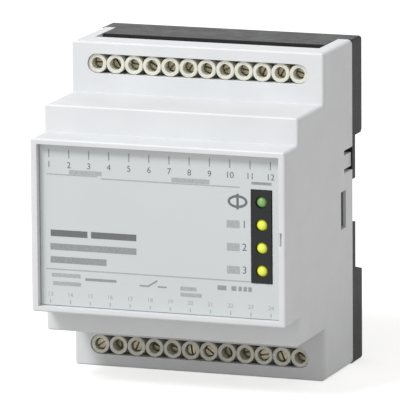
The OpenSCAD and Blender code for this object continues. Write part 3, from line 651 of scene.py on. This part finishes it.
def can_finish(name, node, sleeve, stripe, metal):
    """Two upright cans: sleeve, a pale stripe down the side, and a bare lid."""
    made, tree, place = new_finish(name)
    low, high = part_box(node)
    radius = (high[0] - low[0]) / 2
    parts = put(tree, "ShaderNodeSeparateXYZ", {0: place}).outputs
    upper = calc(tree, "GREATER_THAN", parts["Z"], (low[2] + high[2]) / 2)
    own_z = put(tree, "ShaderNodeMapRange", {
        "Value": upper, "To Min": low[2] + radius, "To Max": high[2] - radius})
    dx = less(tree, parts["X"], (low[0] + high[0]) / 2)
    dz = less(tree, parts["Z"], own_z.outputs["Result"])
    to_x, to_z = calc(tree, "ABSOLUTE", dx), calc(tree, "ABSOLUTE", dz)
    at_end = calc(tree, "LESS_THAN", parts["Y"], low[1] + LID_DEPTH)
    inside = calc(tree, "LESS_THAN", distance(tree, dx, dz), radius - SLEEVE_TURNED_IN)
    lid = times(tree, at_end, inside)
    side = times(tree, calc(tree, "LESS_THAN", to_z, STRIPE_HALF),
                 calc(tree, "GREATER_THAN", dx, 0.0))
    wrap = mixed(tree, side, paint(sleeve), paint(stripe))
    groove = spread(tree, calc(tree, "MINIMUM", to_x, to_z), 0.0, 1.0, CROSS_FROM, CROSS_TO)
    ripple = times(tree, noise(tree, place, 2.0), 0.15)
    height = plus(tree, times(tree, groove, lid), ripple)
    return coated(made, {
        "Metallic": lid, "Base Color": mixed(tree, lid, wrap, paint(metal)),
        "Roughness": patchy(tree, place, 2.0, 0.25, 0.4),
        "Normal": relief(tree, height, 0.6, 0.1)})


can_sleeve = can_finish("capacitor_sleeve", "smoothing_capacitors",
                        (0.07, 0.09, 0.22), (0.7, 0.72, 0.75), (0.8, 0.8, 0.8))
print("cans:", can_sleeve.name)

# %% [markdown]
# ## Banded resistors
#
# A resistor is lacquered and carries plain colour bands, which tell its value. Each
# band could be a thin ring of its own, but it is paint, so a ramp without blending
# lays the bands along the body. The node holds two columns of resistors, and a
# point first finds the middle of its own column.

# %% Banded resistors
RESISTOR_REACH = 4.3 * MM
BODY_HALF = 3.15 * MM
WIRE_FROM = 3.2 * MM
BAND_W = 0.08
BROWN, BLACK, ORANGE = (0.45, 0.25, 0.12), (0.1, 0.1, 0.1), (0.75, 0.4, 0.1)
BANDS = ((0.12, BROWN), (0.3, BLACK), (0.48, ORANGE), (0.8, BROWN))
BARE_WIRE = (0.75, 0.74, 0.71)


def banded(name, node, lacquer, bands):
    """Lacquered bodies in two columns, with colour bands and bare wire ends."""
    made, tree, place = new_finish(name)
    low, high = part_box(node)
    left, right = low[0] + RESISTOR_REACH, high[0] - RESISTOR_REACH
    x = put(tree, "ShaderNodeSeparateXYZ", {0: place}).outputs["X"]
    second = calc(tree, "GREATER_THAN", x, (left + right) / 2)
    own_x = put(tree, "ShaderNodeMapRange", {"Value": second, "To Min": left, "To Max": right})
    along = less(tree, x, own_x.outputs["Result"])
    coat = put(tree, "ShaderNodeValToRGB", {
        "Fac": spread(tree, along, 0.0, 1.0, -BODY_HALF, BODY_HALF)})
    marks = coat.color_ramp
    marks.interpolation = "CONSTANT"
    for mark, at in zip(marks.elements, (0.0, 0.999)):
        mark.position = at
        mark.color = paint(lacquer)
    for at, band in bands:
        for start, shade in ((at, band), (at + BAND_W, lacquer)):
            marks.elements.new(start).color = paint(shade)
    wire = calc(tree, "GREATER_THAN", calc(tree, "ABSOLUTE", along), WIRE_FROM)
    dusty = put(tree, "ShaderNodeHueSaturation", {
        "Color": coat.outputs["Color"], "Value": patchy(tree, place, 1.0, 0.9, 1.08)})
    return coated(made, {
        "Metallic": wire,
        "Base Color": mixed(tree, wire, dusty.outputs["Color"], paint(BARE_WIRE)),
        "Roughness": patchy(tree, place, 0.8, 0.25, 0.4),
        "Normal": relief(tree, noise(tree, place, 1.2, 1.0), 0.5, 0.03)})


resistor_coat = banded("banded_resistor_lacquer", "resistors", (0.36, 0.6, 0.72), BANDS)
print("resistors:", resistor_coat.name, "with", len(BANDS), "bands")

# %% [markdown]
# ## Dressing the CAD pieces
#
# A CAD piece keeps its mesh and only trades the plain material in its slot for a
# finish from above. Each piece could be dressed where its finish is made, but one
# table shows at a glance that nothing is left in its plain colour.

# %% Dress the CAD pieces
FINISHES = (
    (cover_plastic, "cover"), (base_plastic, "base"), (latch_plastic, "rail_latch"),
    (label_film, "front_label"), (holder_plastic, "led_holder"), (green_lens, "green_led"),
    *((lens, name) for name, lens in yellow_lenses.items()),
    (collar_plastic, "top_terminal_block", "bottom_terminal_block"),
    (clamp_zinc, "top_wire_clamps", "bottom_wire_clamps"),
    (contact_tin, "top_contacts", "bottom_contacts"),
    (board_laminate, "main_board", "riser_board", "front_board"),
    (core_steel, "transformer_core"), (bobbin_plastic, "transformer_bobbin"),
    (winding_tape, "transformer_winding"), (relay_case, "relay_1", "relay_2", "relay_3"),
    (can_sleeve, "smoothing_capacitors"), (varistor_coat, "varistor"),
    (resistor_coat, "resistors"),
    (device_black, "bridge_rectifier", "voltage_regulator", "controller_chip",
     "amplifier_chips"))

plain = set(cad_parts)
for finish, *names in FINISHES:
    plain -= set(names)
    for name in names:
        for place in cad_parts[name].material_slots:
            place.material = finish
print("left for new pieces:", sorted(plain))

# %% [markdown]
# ## Geometry Nodes from a script
#
# What repeats could be copied in a loop, but Geometry Nodes keep the rule apart
# from its sizes: one tree holds the rule, and its named inputs hold the sizes. One
# helper makes a tree with such inputs, and one ends it. The third runs it: it sets
# each input by its socket's identifier and takes the result as a plain mesh, so
# that the piece can ride on the housing like any other.

# %% Geometry Nodes helpers
def shape_tree(name, inputs):
    """A tree with named inputs, given as name: socket type."""
    tree = bpy.data.node_groups.new(name, "GeometryNodeTree")
    tree.interface.new_socket("Shape", in_out="OUTPUT", socket_type="NodeSocketGeometry")
    for label, kind in inputs.items():
        tree.interface.new_socket(label, in_out="INPUT", socket_type="NodeSocket" + kind)
    return tree, put(tree, "NodeGroupInput").outputs, put(tree, "NodeGroupOutput").inputs


def finish_tree(tree, grown, finish, result):
    """Ends a tree: instances made real, and the material set."""
    real = put(tree, "GeometryNodeRealizeInstances", {0: grown}).outputs[0]
    dressed = put(tree, "GeometryNodeSetMaterial", {"Geometry": real, "Material": finish})
    tree.links.new(dressed.outputs[0], result["Shape"])


def grow(name, tree, values, start=None):
    """Runs a tree on a mesh and keeps the result as a plain mesh."""
    made = show(name, start or bpy.data.meshes.new(name))
    modifier = made.modifiers.new("shape", "NODES")
    modifier.node_group = tree
    for socket in tree.interface.items_tree:
        if socket.in_out == "INPUT" and socket.name in values:
            modifier[socket.identifier] = values[socket.name]
    bpy.context.view_layer.update()
    eyes = bpy.context.evaluated_depsgraph_get()
    result = bpy.data.meshes.new_from_object(made.evaluated_get(eyes), depsgraph=eyes)
    made.modifiers.remove(modifier)
    made.data = result
    print(name, "triangles", triangles(made))
    return made


def triangles(piece):
    piece.data.calc_loop_triangles()
    return len(piece.data.loop_triangles)


print("the cover has", triangles(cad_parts["cover"]), "triangles")

# %% [markdown]
# ## Where the screws stand
#
# Each terminal is closed by a slotted screw of plated steel, and the lower ones are
# turned out by different amounts. Their places could be typed in, but they would
# then have to follow every change of the CAD model. Measured from its solids, they
# do so by themselves: sorted along X, the points part wherever there is a gap.

# %% Where the screws stand
SCREW_GAP = 1.0 * MM


def clusters(node):
    """The node's solids as boxes, parted along X where there is a gap."""
    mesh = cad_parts[node].data
    places = np.empty(len(mesh.vertices) * 3)
    mesh.vertices.foreach_get("co", places)
    places = places.reshape(-1, 3)
    places = places[np.argsort(places[:, 0])]
    cuts = np.nonzero(np.diff(places[:, 0]) > SCREW_GAP)[0] + 1
    return [(group.min(axis=0), group.max(axis=0)) for group in np.split(places, cuts)]


upper_boxes = clusters("top_terminal_screws")
lower_boxes = clusters("bottom_terminal_screws")
first_low, first_high = upper_boxes[0]
head_r = (first_high[0] - first_low[0]) / 2
screw_length = first_high[1] - first_low[1]
print("screws found:", len(upper_boxes), len(lower_boxes),
      "head", round(2 * head_r / MM, 2), "mm, length", round(screw_length / MM, 2), "mm")

# %% [markdown]
# ## One screw
#
# The CAD model has plain heads and shanks. Here one screw gets a chamfered head and
# a real thread. A thread could be a bump, but its outline would stay straight.
# Rings of points are made instead, whose radius depends on the height less the turn
# round the axis, so the ridge climbs as it goes round, and runs out at the end.

# %% One screw
SCREW_SIDES = 28
HEAD_H = 1.5 * MM
CHAMFER = 0.18 * MM
SHANK_R = 1.2 * MM
THREAD_PITCH = 0.5 * MM
THREAD_DEPTH = 0.16 * MM
THREAD_STEPS = 4


def ring(shape, y, radius_at):
    turns = [2.0 * math.pi * i / SCREW_SIDES for i in range(SCREW_SIDES)]
    return [shape.verts.new((radius_at(t) * math.cos(t), y, radius_at(t) * math.sin(t)))
            for t in turns]


def screw_mesh(head_r, length):
    """A screw along Y, its head's face at 0 and its thread cut as a helix."""
    shape = bmesh.new()
    rows = [(0.0, head_r - CHAMFER), (0.4 * CHAMFER, head_r - 0.3 * CHAMFER), (CHAMFER, head_r),
            (HEAD_H - 0.5 * CHAMFER, head_r), (HEAD_H, head_r - 0.5 * CHAMFER)]
    rings = [ring(shape, y, lambda t, r=r: r) for y, r in rows]
    count = int((length - HEAD_H) / THREAD_PITCH * THREAD_STEPS)
    for k in range(count + 1):
        y = HEAD_H + k * (length - HEAD_H) / count
        runout = min(1.0, (count - k) / THREAD_STEPS)

        def thread(t, y=y, runout=runout):
            wave = 0.5 - 0.5 * math.cos(2.0 * math.pi * y / THREAD_PITCH - t)
            return SHANK_R - THREAD_DEPTH * (1.0 - wave * runout)
        rings.append(ring(shape, y, thread))
    for one, two in zip(rings, rings[1:]):
        for i in range(SCREW_SIDES):
            j = (i + 1) % SCREW_SIDES
            shape.faces.new((one[i], one[j], two[j], two[i]))
    shape.faces.new(rings[0])
    shape.faces.new(rings[-1])
    bmesh.ops.recalc_face_normals(shape, faces=shape.faces)
    made = bpy.data.meshes.new("screw_template")
    shape.to_mesh(made)
    shape.free()
    return made


template = bpy.data.objects.new("screw_template", screw_mesh(head_r, screw_length))
print("one screw:", len(template.data.polygons), "faces before its slot is cut")

# %% [markdown]
# ## Turned and plated steel
#
# A lathe leaves fine rings on a screw's head, plating dulls in spots, and a
# screwdriver rubs the lips of the slot bright. The finish is also painted darker
# deeper behind the head's face, as painted shade in the slot and down the head's
# sides. Each screw could be an object with its own axes, but twelve in one mesh
# are one piece. So the place on the template is stored as an attribute before
# they are set out, and this finish reads it.

# %% Turned and plated steel
SLOT_W = 0.55 * MM
SLOT_DEPTH = 0.7 * MM
LATHE_RING = 0.16 * MM
RUBBED_STEEL = (0.78, 0.77, 0.72)


def screw_finish(name, colour):
    """Plated steel with the lathe's rings on each head and painted shade in the slot."""
    made, tree, place = new_finish(name)
    own = put(tree, "ShaderNodeAttribute", attribute_name="screw_place").outputs["Vector"]
    parts = put(tree, "ShaderNodeSeparateXYZ", {0: own}).outputs
    away = distance(tree, parts["X"], parts["Z"])
    rings = calc(tree, "SINE", times(tree, away, 2.0 * math.pi / LATHE_RING))
    film = noise(tree, place, 0.9)
    # Painted shade: the colour falls to half from 0.1 to 0.6 mm behind the head's face, which
    # darkens the slot and the head's sides.
    shaded = put(tree, "ShaderNodeHueSaturation", {
        "Color": clouded(tree, film, colour, 0.6, 1.1),
        "Value": spread(tree, parts["Y"], 1.0, 0.5, 0.1 * MM, 0.6 * MM)})
    beside = less(tree, calc(tree, "ABSOLUTE", parts["Z"]), SLOT_W / 2)
    lip = spread(tree, beside, 1.0, 0.0, 0.02 * MM, 0.16 * MM)
    on_face = spread(tree, parts["Y"], 1.0, 0.0, 0.02 * MM, 0.08 * MM)
    rubbed = times(tree, times(tree, lip, on_face), spread(tree, film, 0.1, 0.8))
    return coated(made, {
        "Metallic": 1.0,
        "Base Color": mixed(tree, rubbed, shaded.outputs["Color"], paint(RUBBED_STEEL)),
        "Roughness": spread(tree, film, 0.3, 0.48),
        "Normal": relief(tree, rings, 0.35, 0.01)})


screw_steel = screw_finish("plated_screw_steel", (0.63, 0.6, 0.5))
print("screws:", screw_steel.name)

# %% [markdown]
# ## Two rows of screws
#
# The slot could be part of the template, but as an input of the tree its size can
# be tried without making the screw again. The tree cuts it with a Boolean, stores
# the place on the screw, and sets a screw on each point, turned by the point's own
# angle. The angles follow a rule that looks like chance and never changes.

# %% The rule of a row
BLADE_LENGTH = 10.0 * MM


def screw_row_tree():
    tree, given, result = shape_tree("screw_row", {
        "Points": "Geometry", "Screw": "Object", "Slot width": "Float", "Slot depth": "Float",
        "Finish": "Material"})
    screw = put(tree, "GeometryNodeObjectInfo", {"Object": given["Screw"]}).outputs["Geometry"]
    blade = vector(tree, X=BLADE_LENGTH, Y=times(tree, given["Slot depth"], 2.0),
                   Z=given["Slot width"])
    cutter = put(tree, "GeometryNodeMeshCube", {"Size": blade}).outputs["Mesh"]
    slotted = put(tree, "GeometryNodeMeshBoolean", {
        "Mesh 1": screw, "Mesh 2": cutter}, operation="DIFFERENCE")
    marked = put(tree, "GeometryNodeStoreNamedAttribute", {
        "Geometry": slotted.outputs["Mesh"], "Name": "screw_place",
        "Value": put(tree, "GeometryNodeInputPosition").outputs[0]},
        data_type="FLOAT_VECTOR", domain="POINT")
    turn = put(tree, "GeometryNodeInputNamedAttribute", {"Name": "turn"}, data_type="FLOAT")
    placed = put(tree, "GeometryNodeInstanceOnPoints", {
        "Points": given["Points"], "Instance": marked.outputs["Geometry"],
        "Rotation": vector(tree, Y=turn.outputs["Attribute"])})
    finish_tree(tree, placed.outputs["Instances"], given["Finish"], result)
    return tree


row_tree = screw_row_tree()
print("rule of a row:", len(row_tree.nodes), "nodes")


# %% Both rows
def screw_row(name, node, boxes, turns):
    """One row of screws on the heads of the CAD solids."""
    heads = [((low[0] + high[0]) / 2, low[1], (low[2] + high[2]) / 2) for low, high in boxes]
    points = bpy.data.meshes.new(name + "_points")
    points.from_pydata(heads, [], [])
    turned = points.attributes.new("turn", "FLOAT", "POINT")
    turned.data.foreach_set("value", [math.radians(t) for t in turns])
    piece = grow(name, row_tree, {
        "Screw": template, "Slot width": SLOT_W, "Slot depth": SLOT_DEPTH,
        "Finish": screw_steel}, points)
    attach(piece, "housing")
    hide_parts(node)


UPPER_TURNS = [(37 * i * i + 20 * i) % 180 for i in range(len(upper_boxes))]
LOWER_TURNS = [-((53 * i * i + 35) % 180) for i in range(len(lower_boxes))]
screw_row("upper_screws", "top_terminal_screws", upper_boxes, UPPER_TURNS)
screw_row("lower_screws", "bottom_terminal_screws", lower_boxes, LOWER_TURNS)
bpy.data.objects.remove(template)

# %% [markdown]
# ## The latch spring
#
# A compression spring has a closed turn at each end and open turns between, so its
# height is not a straight line but three stretches: slow, steady, slow. A Screw
# modifier would wind all turns alike. Here a mesh line gives the points, a field
# places each by its index, and a curve of them carries the round wire. The spring
# shortens when the latch is pulled, but this one is wound at one fixed length.

# %% The rule of a coil
def coil_tree():
    tree, given, result = shape_tree("coil", {
        "Turns": "Float", "Steps": "Int", "Wire": "Float", "Radius": "Float", "Length": "Float",
        "Foot": "Vector", "Finish": "Material"})
    count = times(tree, given["Turns"], given["Steps"])
    line = put(tree, "GeometryNodeMeshLine", {"Count": plus(tree, count, 1.0)})
    index = put(tree, "GeometryNodeInputIndex").outputs[0]
    turn = calc(tree, "DIVIDE", index, given["Steps"])
    angle = times(tree, turn, 2.0 * math.pi)
    open_turns = less(tree, given["Turns"], 2.0)
    first = calc(tree, "MINIMUM", turn, 1.0)
    after_first = calc(tree, "MAXIMUM", less(tree, turn, 1.0), 0.0)
    middle = calc(tree, "MINIMUM", after_first, open_turns)
    before_last = plus(tree, open_turns, 1.0)
    last = calc(tree, "MAXIMUM", less(tree, turn, before_last), 0.0)
    closed_wires = times(tree, given["Wire"], 3.0)
    rise = calc(tree, "DIVIDE", less(tree, given["Length"], closed_wires), open_turns)
    closed = plus(tree, plus(tree, first, last), 0.5)
    height = plus(tree, times(tree, closed, given["Wire"]), times(tree, middle, rise))
    across, up = (times(tree, calc(tree, wave, angle), given["Radius"])
                  for wave in ("COSINE", "SINE"))
    bent = put(tree, "GeometryNodeSetPosition", {
        "Geometry": line.outputs["Mesh"],
        "Position": joined(tree, "ADD", vector(tree, X=across, Y=up, Z=height), given["Foot"])})
    path = put(tree, "GeometryNodeMeshToCurve", {"Mesh": bent.outputs[0]})
    section = put(tree, "GeometryNodeCurvePrimitiveCircle", {
        "Resolution": 10, "Radius": times(tree, given["Wire"], 0.5)})
    wire = put(tree, "GeometryNodeCurveToMesh", {
        "Curve": path.outputs[0], "Profile Curve": section.outputs["Curve"], "Fill Caps": True})
    smooth = put(tree, "GeometryNodeSetShadeSmooth", {0: wire.outputs["Mesh"]})
    finish_tree(tree, smooth.outputs[0], given["Finish"], result)
    return tree


wound = coil_tree()
print("rule of a coil:", len(wound.nodes), "nodes")

# %% Latch spring
SPRING_TURNS = 8.0
SPRING_STEPS = 24
WIRE_D = 0.5 * MM

spring_low, spring_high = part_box("latch_spring")
spring_axis = ((spring_low[0] + spring_high[0]) / 2, (spring_low[1] + spring_high[1]) / 2)
spring = grow("wound_latch_spring", wound, {
    "Turns": SPRING_TURNS, "Steps": SPRING_STEPS, "Wire": WIRE_D,
    "Radius": (spring_high[0] - spring_low[0] - WIRE_D) / 2,
    "Length": spring_high[2] - spring_low[2],
    "Foot": (*spring_axis, spring_low[2]), "Finish": spring_steel})
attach(spring, "housing")
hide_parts("latch_spring")
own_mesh(spring)

# %% [markdown]
# ## The print on the front
#
# Real print has no thickness worth speaking of. It could be flat faces, but those
# flicker when they lie on a surface, so each mark is a slab that stands three
# hundredths of a millimetre out of the film. Fields, lines and a loop are slabs
# given by their corners, in millimetres across and up.

# %% Slabs of ink
INK_PROUD = 0.03 * MM
INK_SUNK = 0.02 * MM
film_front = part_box("front_label")[0][1]
ink_front, ink_back = film_front - INK_PROUD, film_front + INK_SUNK
ink_middle = film_front + (INK_SUNK - INK_PROUD) / 2


def slab(shape, outline):
    """A flat shape on the label, given by its corners."""
    near = [shape.verts.new((x * MM, ink_front, z * MM)) for x, z in outline]
    far = [shape.verts.new((x * MM, ink_back, z * MM)) for x, z in outline]
    shape.faces.new(near)
    shape.faces.new(far[::-1])
    for i in range(len(outline)):
        j = (i + 1) % len(outline)
        shape.faces.new((near[j], near[i], far[i], far[j]))


def bars(shape, fields):
    """Level fields, each from x on with its middle at z: x, z, width, height."""
    for x, z, width, height in fields:
        half = height / 2
        slab(shape, [(x, z + half), (x, z - half), (x + width, z - half), (x + width, z + half)])


def stroke(shape, start, end, width):
    along = Vector((end[0] - start[0], end[1] - start[1])).normalized()
    side = Vector((-along[1], along[0])) * width / 2
    slab(shape, [(start[0] + side[0], start[1] + side[1]), (start[0] - side[0], start[1] - side[1]),
                 (end[0] - side[0], end[1] - side[1]), (end[0] + side[0], end[1] + side[1])])


def loop(shape, x, z, wide, high, width, steps=32):
    """A closed oval band of even width: four rings of corners joined by quads."""
    rings = [[shape.verts.new(((x + (wide / 2 - inset) * math.cos(turn)) * MM, y,
                               (z + (high / 2 - inset) * math.sin(turn)) * MM))
              for turn in (2.0 * math.pi * k / steps for k in range(steps))]
             for inset, y in ((0.0, ink_front), (width, ink_front),
                              (width, ink_back), (0.0, ink_back))]
    for one, two in zip(rings, rings[1:] + rings[:1]):
        for k in range(steps):
            shape.faces.new((one[k], one[k - 1], two[k - 1], two[k]))


print("the film's face is at", round(film_front / MM, 2), "mm")

# %% [markdown]
# ## Figures
#
# Plain numbers stand beside the terminals and the lamps. They could be drawn as
# strokes, but a font already has well-shaped outlines, so a text object is made a
# mesh and joined to the slabs. The outlines have doubled points, which are merged.

# %% Figures
FIGURE_SHARE = 0.7
SAME_POINT = 0.0005 * MM


def figures(shape, body, x, z, high):
    """Plain numbers from the font's outlines, centred on a place."""
    text = bpy.data.curves.new("figures", "FONT")
    text.body = body
    text.size = high * MM / FIGURE_SHARE
    text.extrude = (INK_PROUD + INK_SUNK) / 2
    text.align_x = text.align_y = "CENTER"
    holder = bpy.data.objects.new("figures", text)
    flat = bpy.data.meshes.new_from_object(holder)
    standing = Matrix.Rotation(math.pi / 2, 4, "X")
    flat.transform(Matrix.Translation((x * MM, ink_middle, z * MM)) @ standing)
    clean = bmesh.new()
    clean.from_mesh(flat)
    bmesh.ops.remove_doubles(clean, verts=clean.verts, dist=SAME_POINT)
    bmesh.ops.dissolve_degenerate(clean, edges=clean.edges, dist=SAME_POINT)
    clean.to_mesh(flat)
    clean.free()
    shape.from_mesh(flat)
    bpy.data.objects.remove(holder)
    bpy.data.meshes.remove(flat)


def print_piece(name, shape, finish):
    """Turns the slabs into a piece that rides on the housing."""
    bmesh.ops.recalc_face_normals(shape, faces=shape.faces)
    mesh = bpy.data.meshes.new(name)
    shape.to_mesh(mesh)
    shape.free()
    mesh.materials.append(finish)
    piece = show(name, mesh)
    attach(piece, "housing")
    print(name, "triangles", triangles(piece))


print("a figure of 1 mm is set at size", round(1.0 / FIGURE_SHARE, 2), "mm")

# %% [markdown]
# ## Three inks
#
# The darkest ink is kept for what is read first: the upper numbers, the lamps'
# numbers, the loop with its bar, and the heaviest line. One piece with three
# materials would do, but a piece for each ink keeps every piece to one finish. The
# loop's bar is three strokes that meet the band without overlapping it, and the
# switch sign is one bent slab, because faces that share a plane leave black spots.

# %% Dark marks
TERMINALS = 12
LABEL_PITCH = 5.52
ROW_MIDDLE = 6.5
LAMP_ROWS = (3.2, -2.8, -8.8)
LOOP_X, LOOP_Z, LOOP_WIDE, LOOP_HIGH, LOOP_LINE = 21.4, 9.15, 5.4, 3.4, 0.65


def row_of_figures(shape, first, z, high):
    for n in range(TERMINALS):
        figures(shape, str(first + n), (n + 1 - ROW_MIDDLE) * LABEL_PITCH, z, high)


dark = bmesh.new()
row_of_figures(dark, 1, 15.9, 1.6)
for number, z in enumerate(LAMP_ROWS, 1):
    figures(dark, str(number), 23.2, z, 1.9)
loop(dark, LOOP_X, LOOP_Z, LOOP_WIDE, LOOP_HIGH, LOOP_LINE)
for above, below in ((11.2, 10.86), (10.18, 8.12), (7.44, 7.1)):
    stroke(dark, (LOOP_X, above), (LOOP_X, below), LOOP_LINE)
bars(dark, [(-30.1, -2.1, 10.2, 1.7), (-18.9, -2.1, 12.5, 1.7)])
print_piece("dark_print", dark, dark_ink)

# %% Grey marks
SWITCH_SIGN = ((-5.6, -14.4), (-5.6, -14.8), (-3.14, -14.8),
               (-0.59, -13.17), (-0.81, -12.83), (-3.26, -14.4))

grey = bmesh.new()
bars(grey, [(-30.2, -5.7, 23.8, 1.7), (-30.2, -9.15, 15.5, 1.7),
            (25.2, 14.2, 5.4, 0.7), (-20.6, -13.9, 8.6, 0.7)])
slab(grey, SWITCH_SIGN)
stroke(grey, (-0.6, -14.6), (1.8, -14.6), 0.4)
bars(grey, [(x, -13.7, width, 1.2)
            for x, width in ((15.8, 2.4), (19.6, 1.3), (21.5, 0.9), (22.9, 0.9), (24.2, 0.9))])
print_piece("grey_print", grey, grey_ink)

# %% Pale marks
pale = bmesh.new()
bars(pale, [(-31.0, 13.4, 14.0, 0.3), (-16.0, 12.9, 38.0, 0.3), (-31.4, -11.65, 56.2, 0.3)])
bars(pale, [(-24.8, 14.2, 9.0, 1.1), (3.4, 13.8, 10.4, 1.2)])
bars(pale, [(18.4, z, 3.5, 2.0) for z in LAMP_ROWS])
bars(pale, [(-29.9, -13.2, 8.0, 1.0), (-29.6, -15.4, 7.8, 1.0),
            (5.6, -14.6, 4.4, 1.0), (5.6, -16.2, 5.8, 1.0)])
row_of_figures(pale, TERMINALS + 1, -18.3, 1.1)
print_piece("pale_print", pale, pale_ink)

# %% [markdown]
# ## Rows of ticks
#
# A short upright line points from each number to its terminal. Twelve slabs in a
# loop would do here, but a row at an even pitch is what Geometry Nodes do best: a
# mesh line gives the points, and one thin box is set on each of them.

# %% Rows of ticks
TICK_W = 0.3 * MM


def tick_tree():
    tree, given, result = shape_tree("tick_row", {
        "Count": "Int", "Pitch": "Float", "Size": "Vector", "Middle": "Vector",
        "Finish": "Material"})
    gaps = less(tree, given["Count"], 1.0)
    reach = times(tree, given["Pitch"], times(tree, gaps, -0.5))
    row = put(tree, "GeometryNodeMeshLine", {
        "Count": given["Count"], "Offset": vector(tree, X=given["Pitch"]),
        "Start Location": joined(tree, "ADD", given["Middle"], vector(tree, X=reach))})
    tick = put(tree, "GeometryNodeMeshCube", {"Size": given["Size"]}).outputs["Mesh"]
    placed = put(tree, "GeometryNodeInstanceOnPoints", {
        "Points": row.outputs["Mesh"], "Instance": tick})
    finish_tree(tree, placed.outputs["Instances"], given["Finish"], result)
    return tree


def tick_row(name, tree, z, high, finish):
    piece = grow(name, tree, {
        "Count": TERMINALS, "Pitch": LABEL_PITCH * MM,
        "Size": (TICK_W, INK_PROUD + INK_SUNK, high * MM),
        "Middle": (0.0, ink_middle, z * MM), "Finish": finish})
    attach(piece, "housing")


ticks = tick_tree()
tick_row("upper_ticks", ticks, 18.9, 2.2, grey_ink)
tick_row("lower_ticks", ticks, -20.2, 1.0, pale_ink)
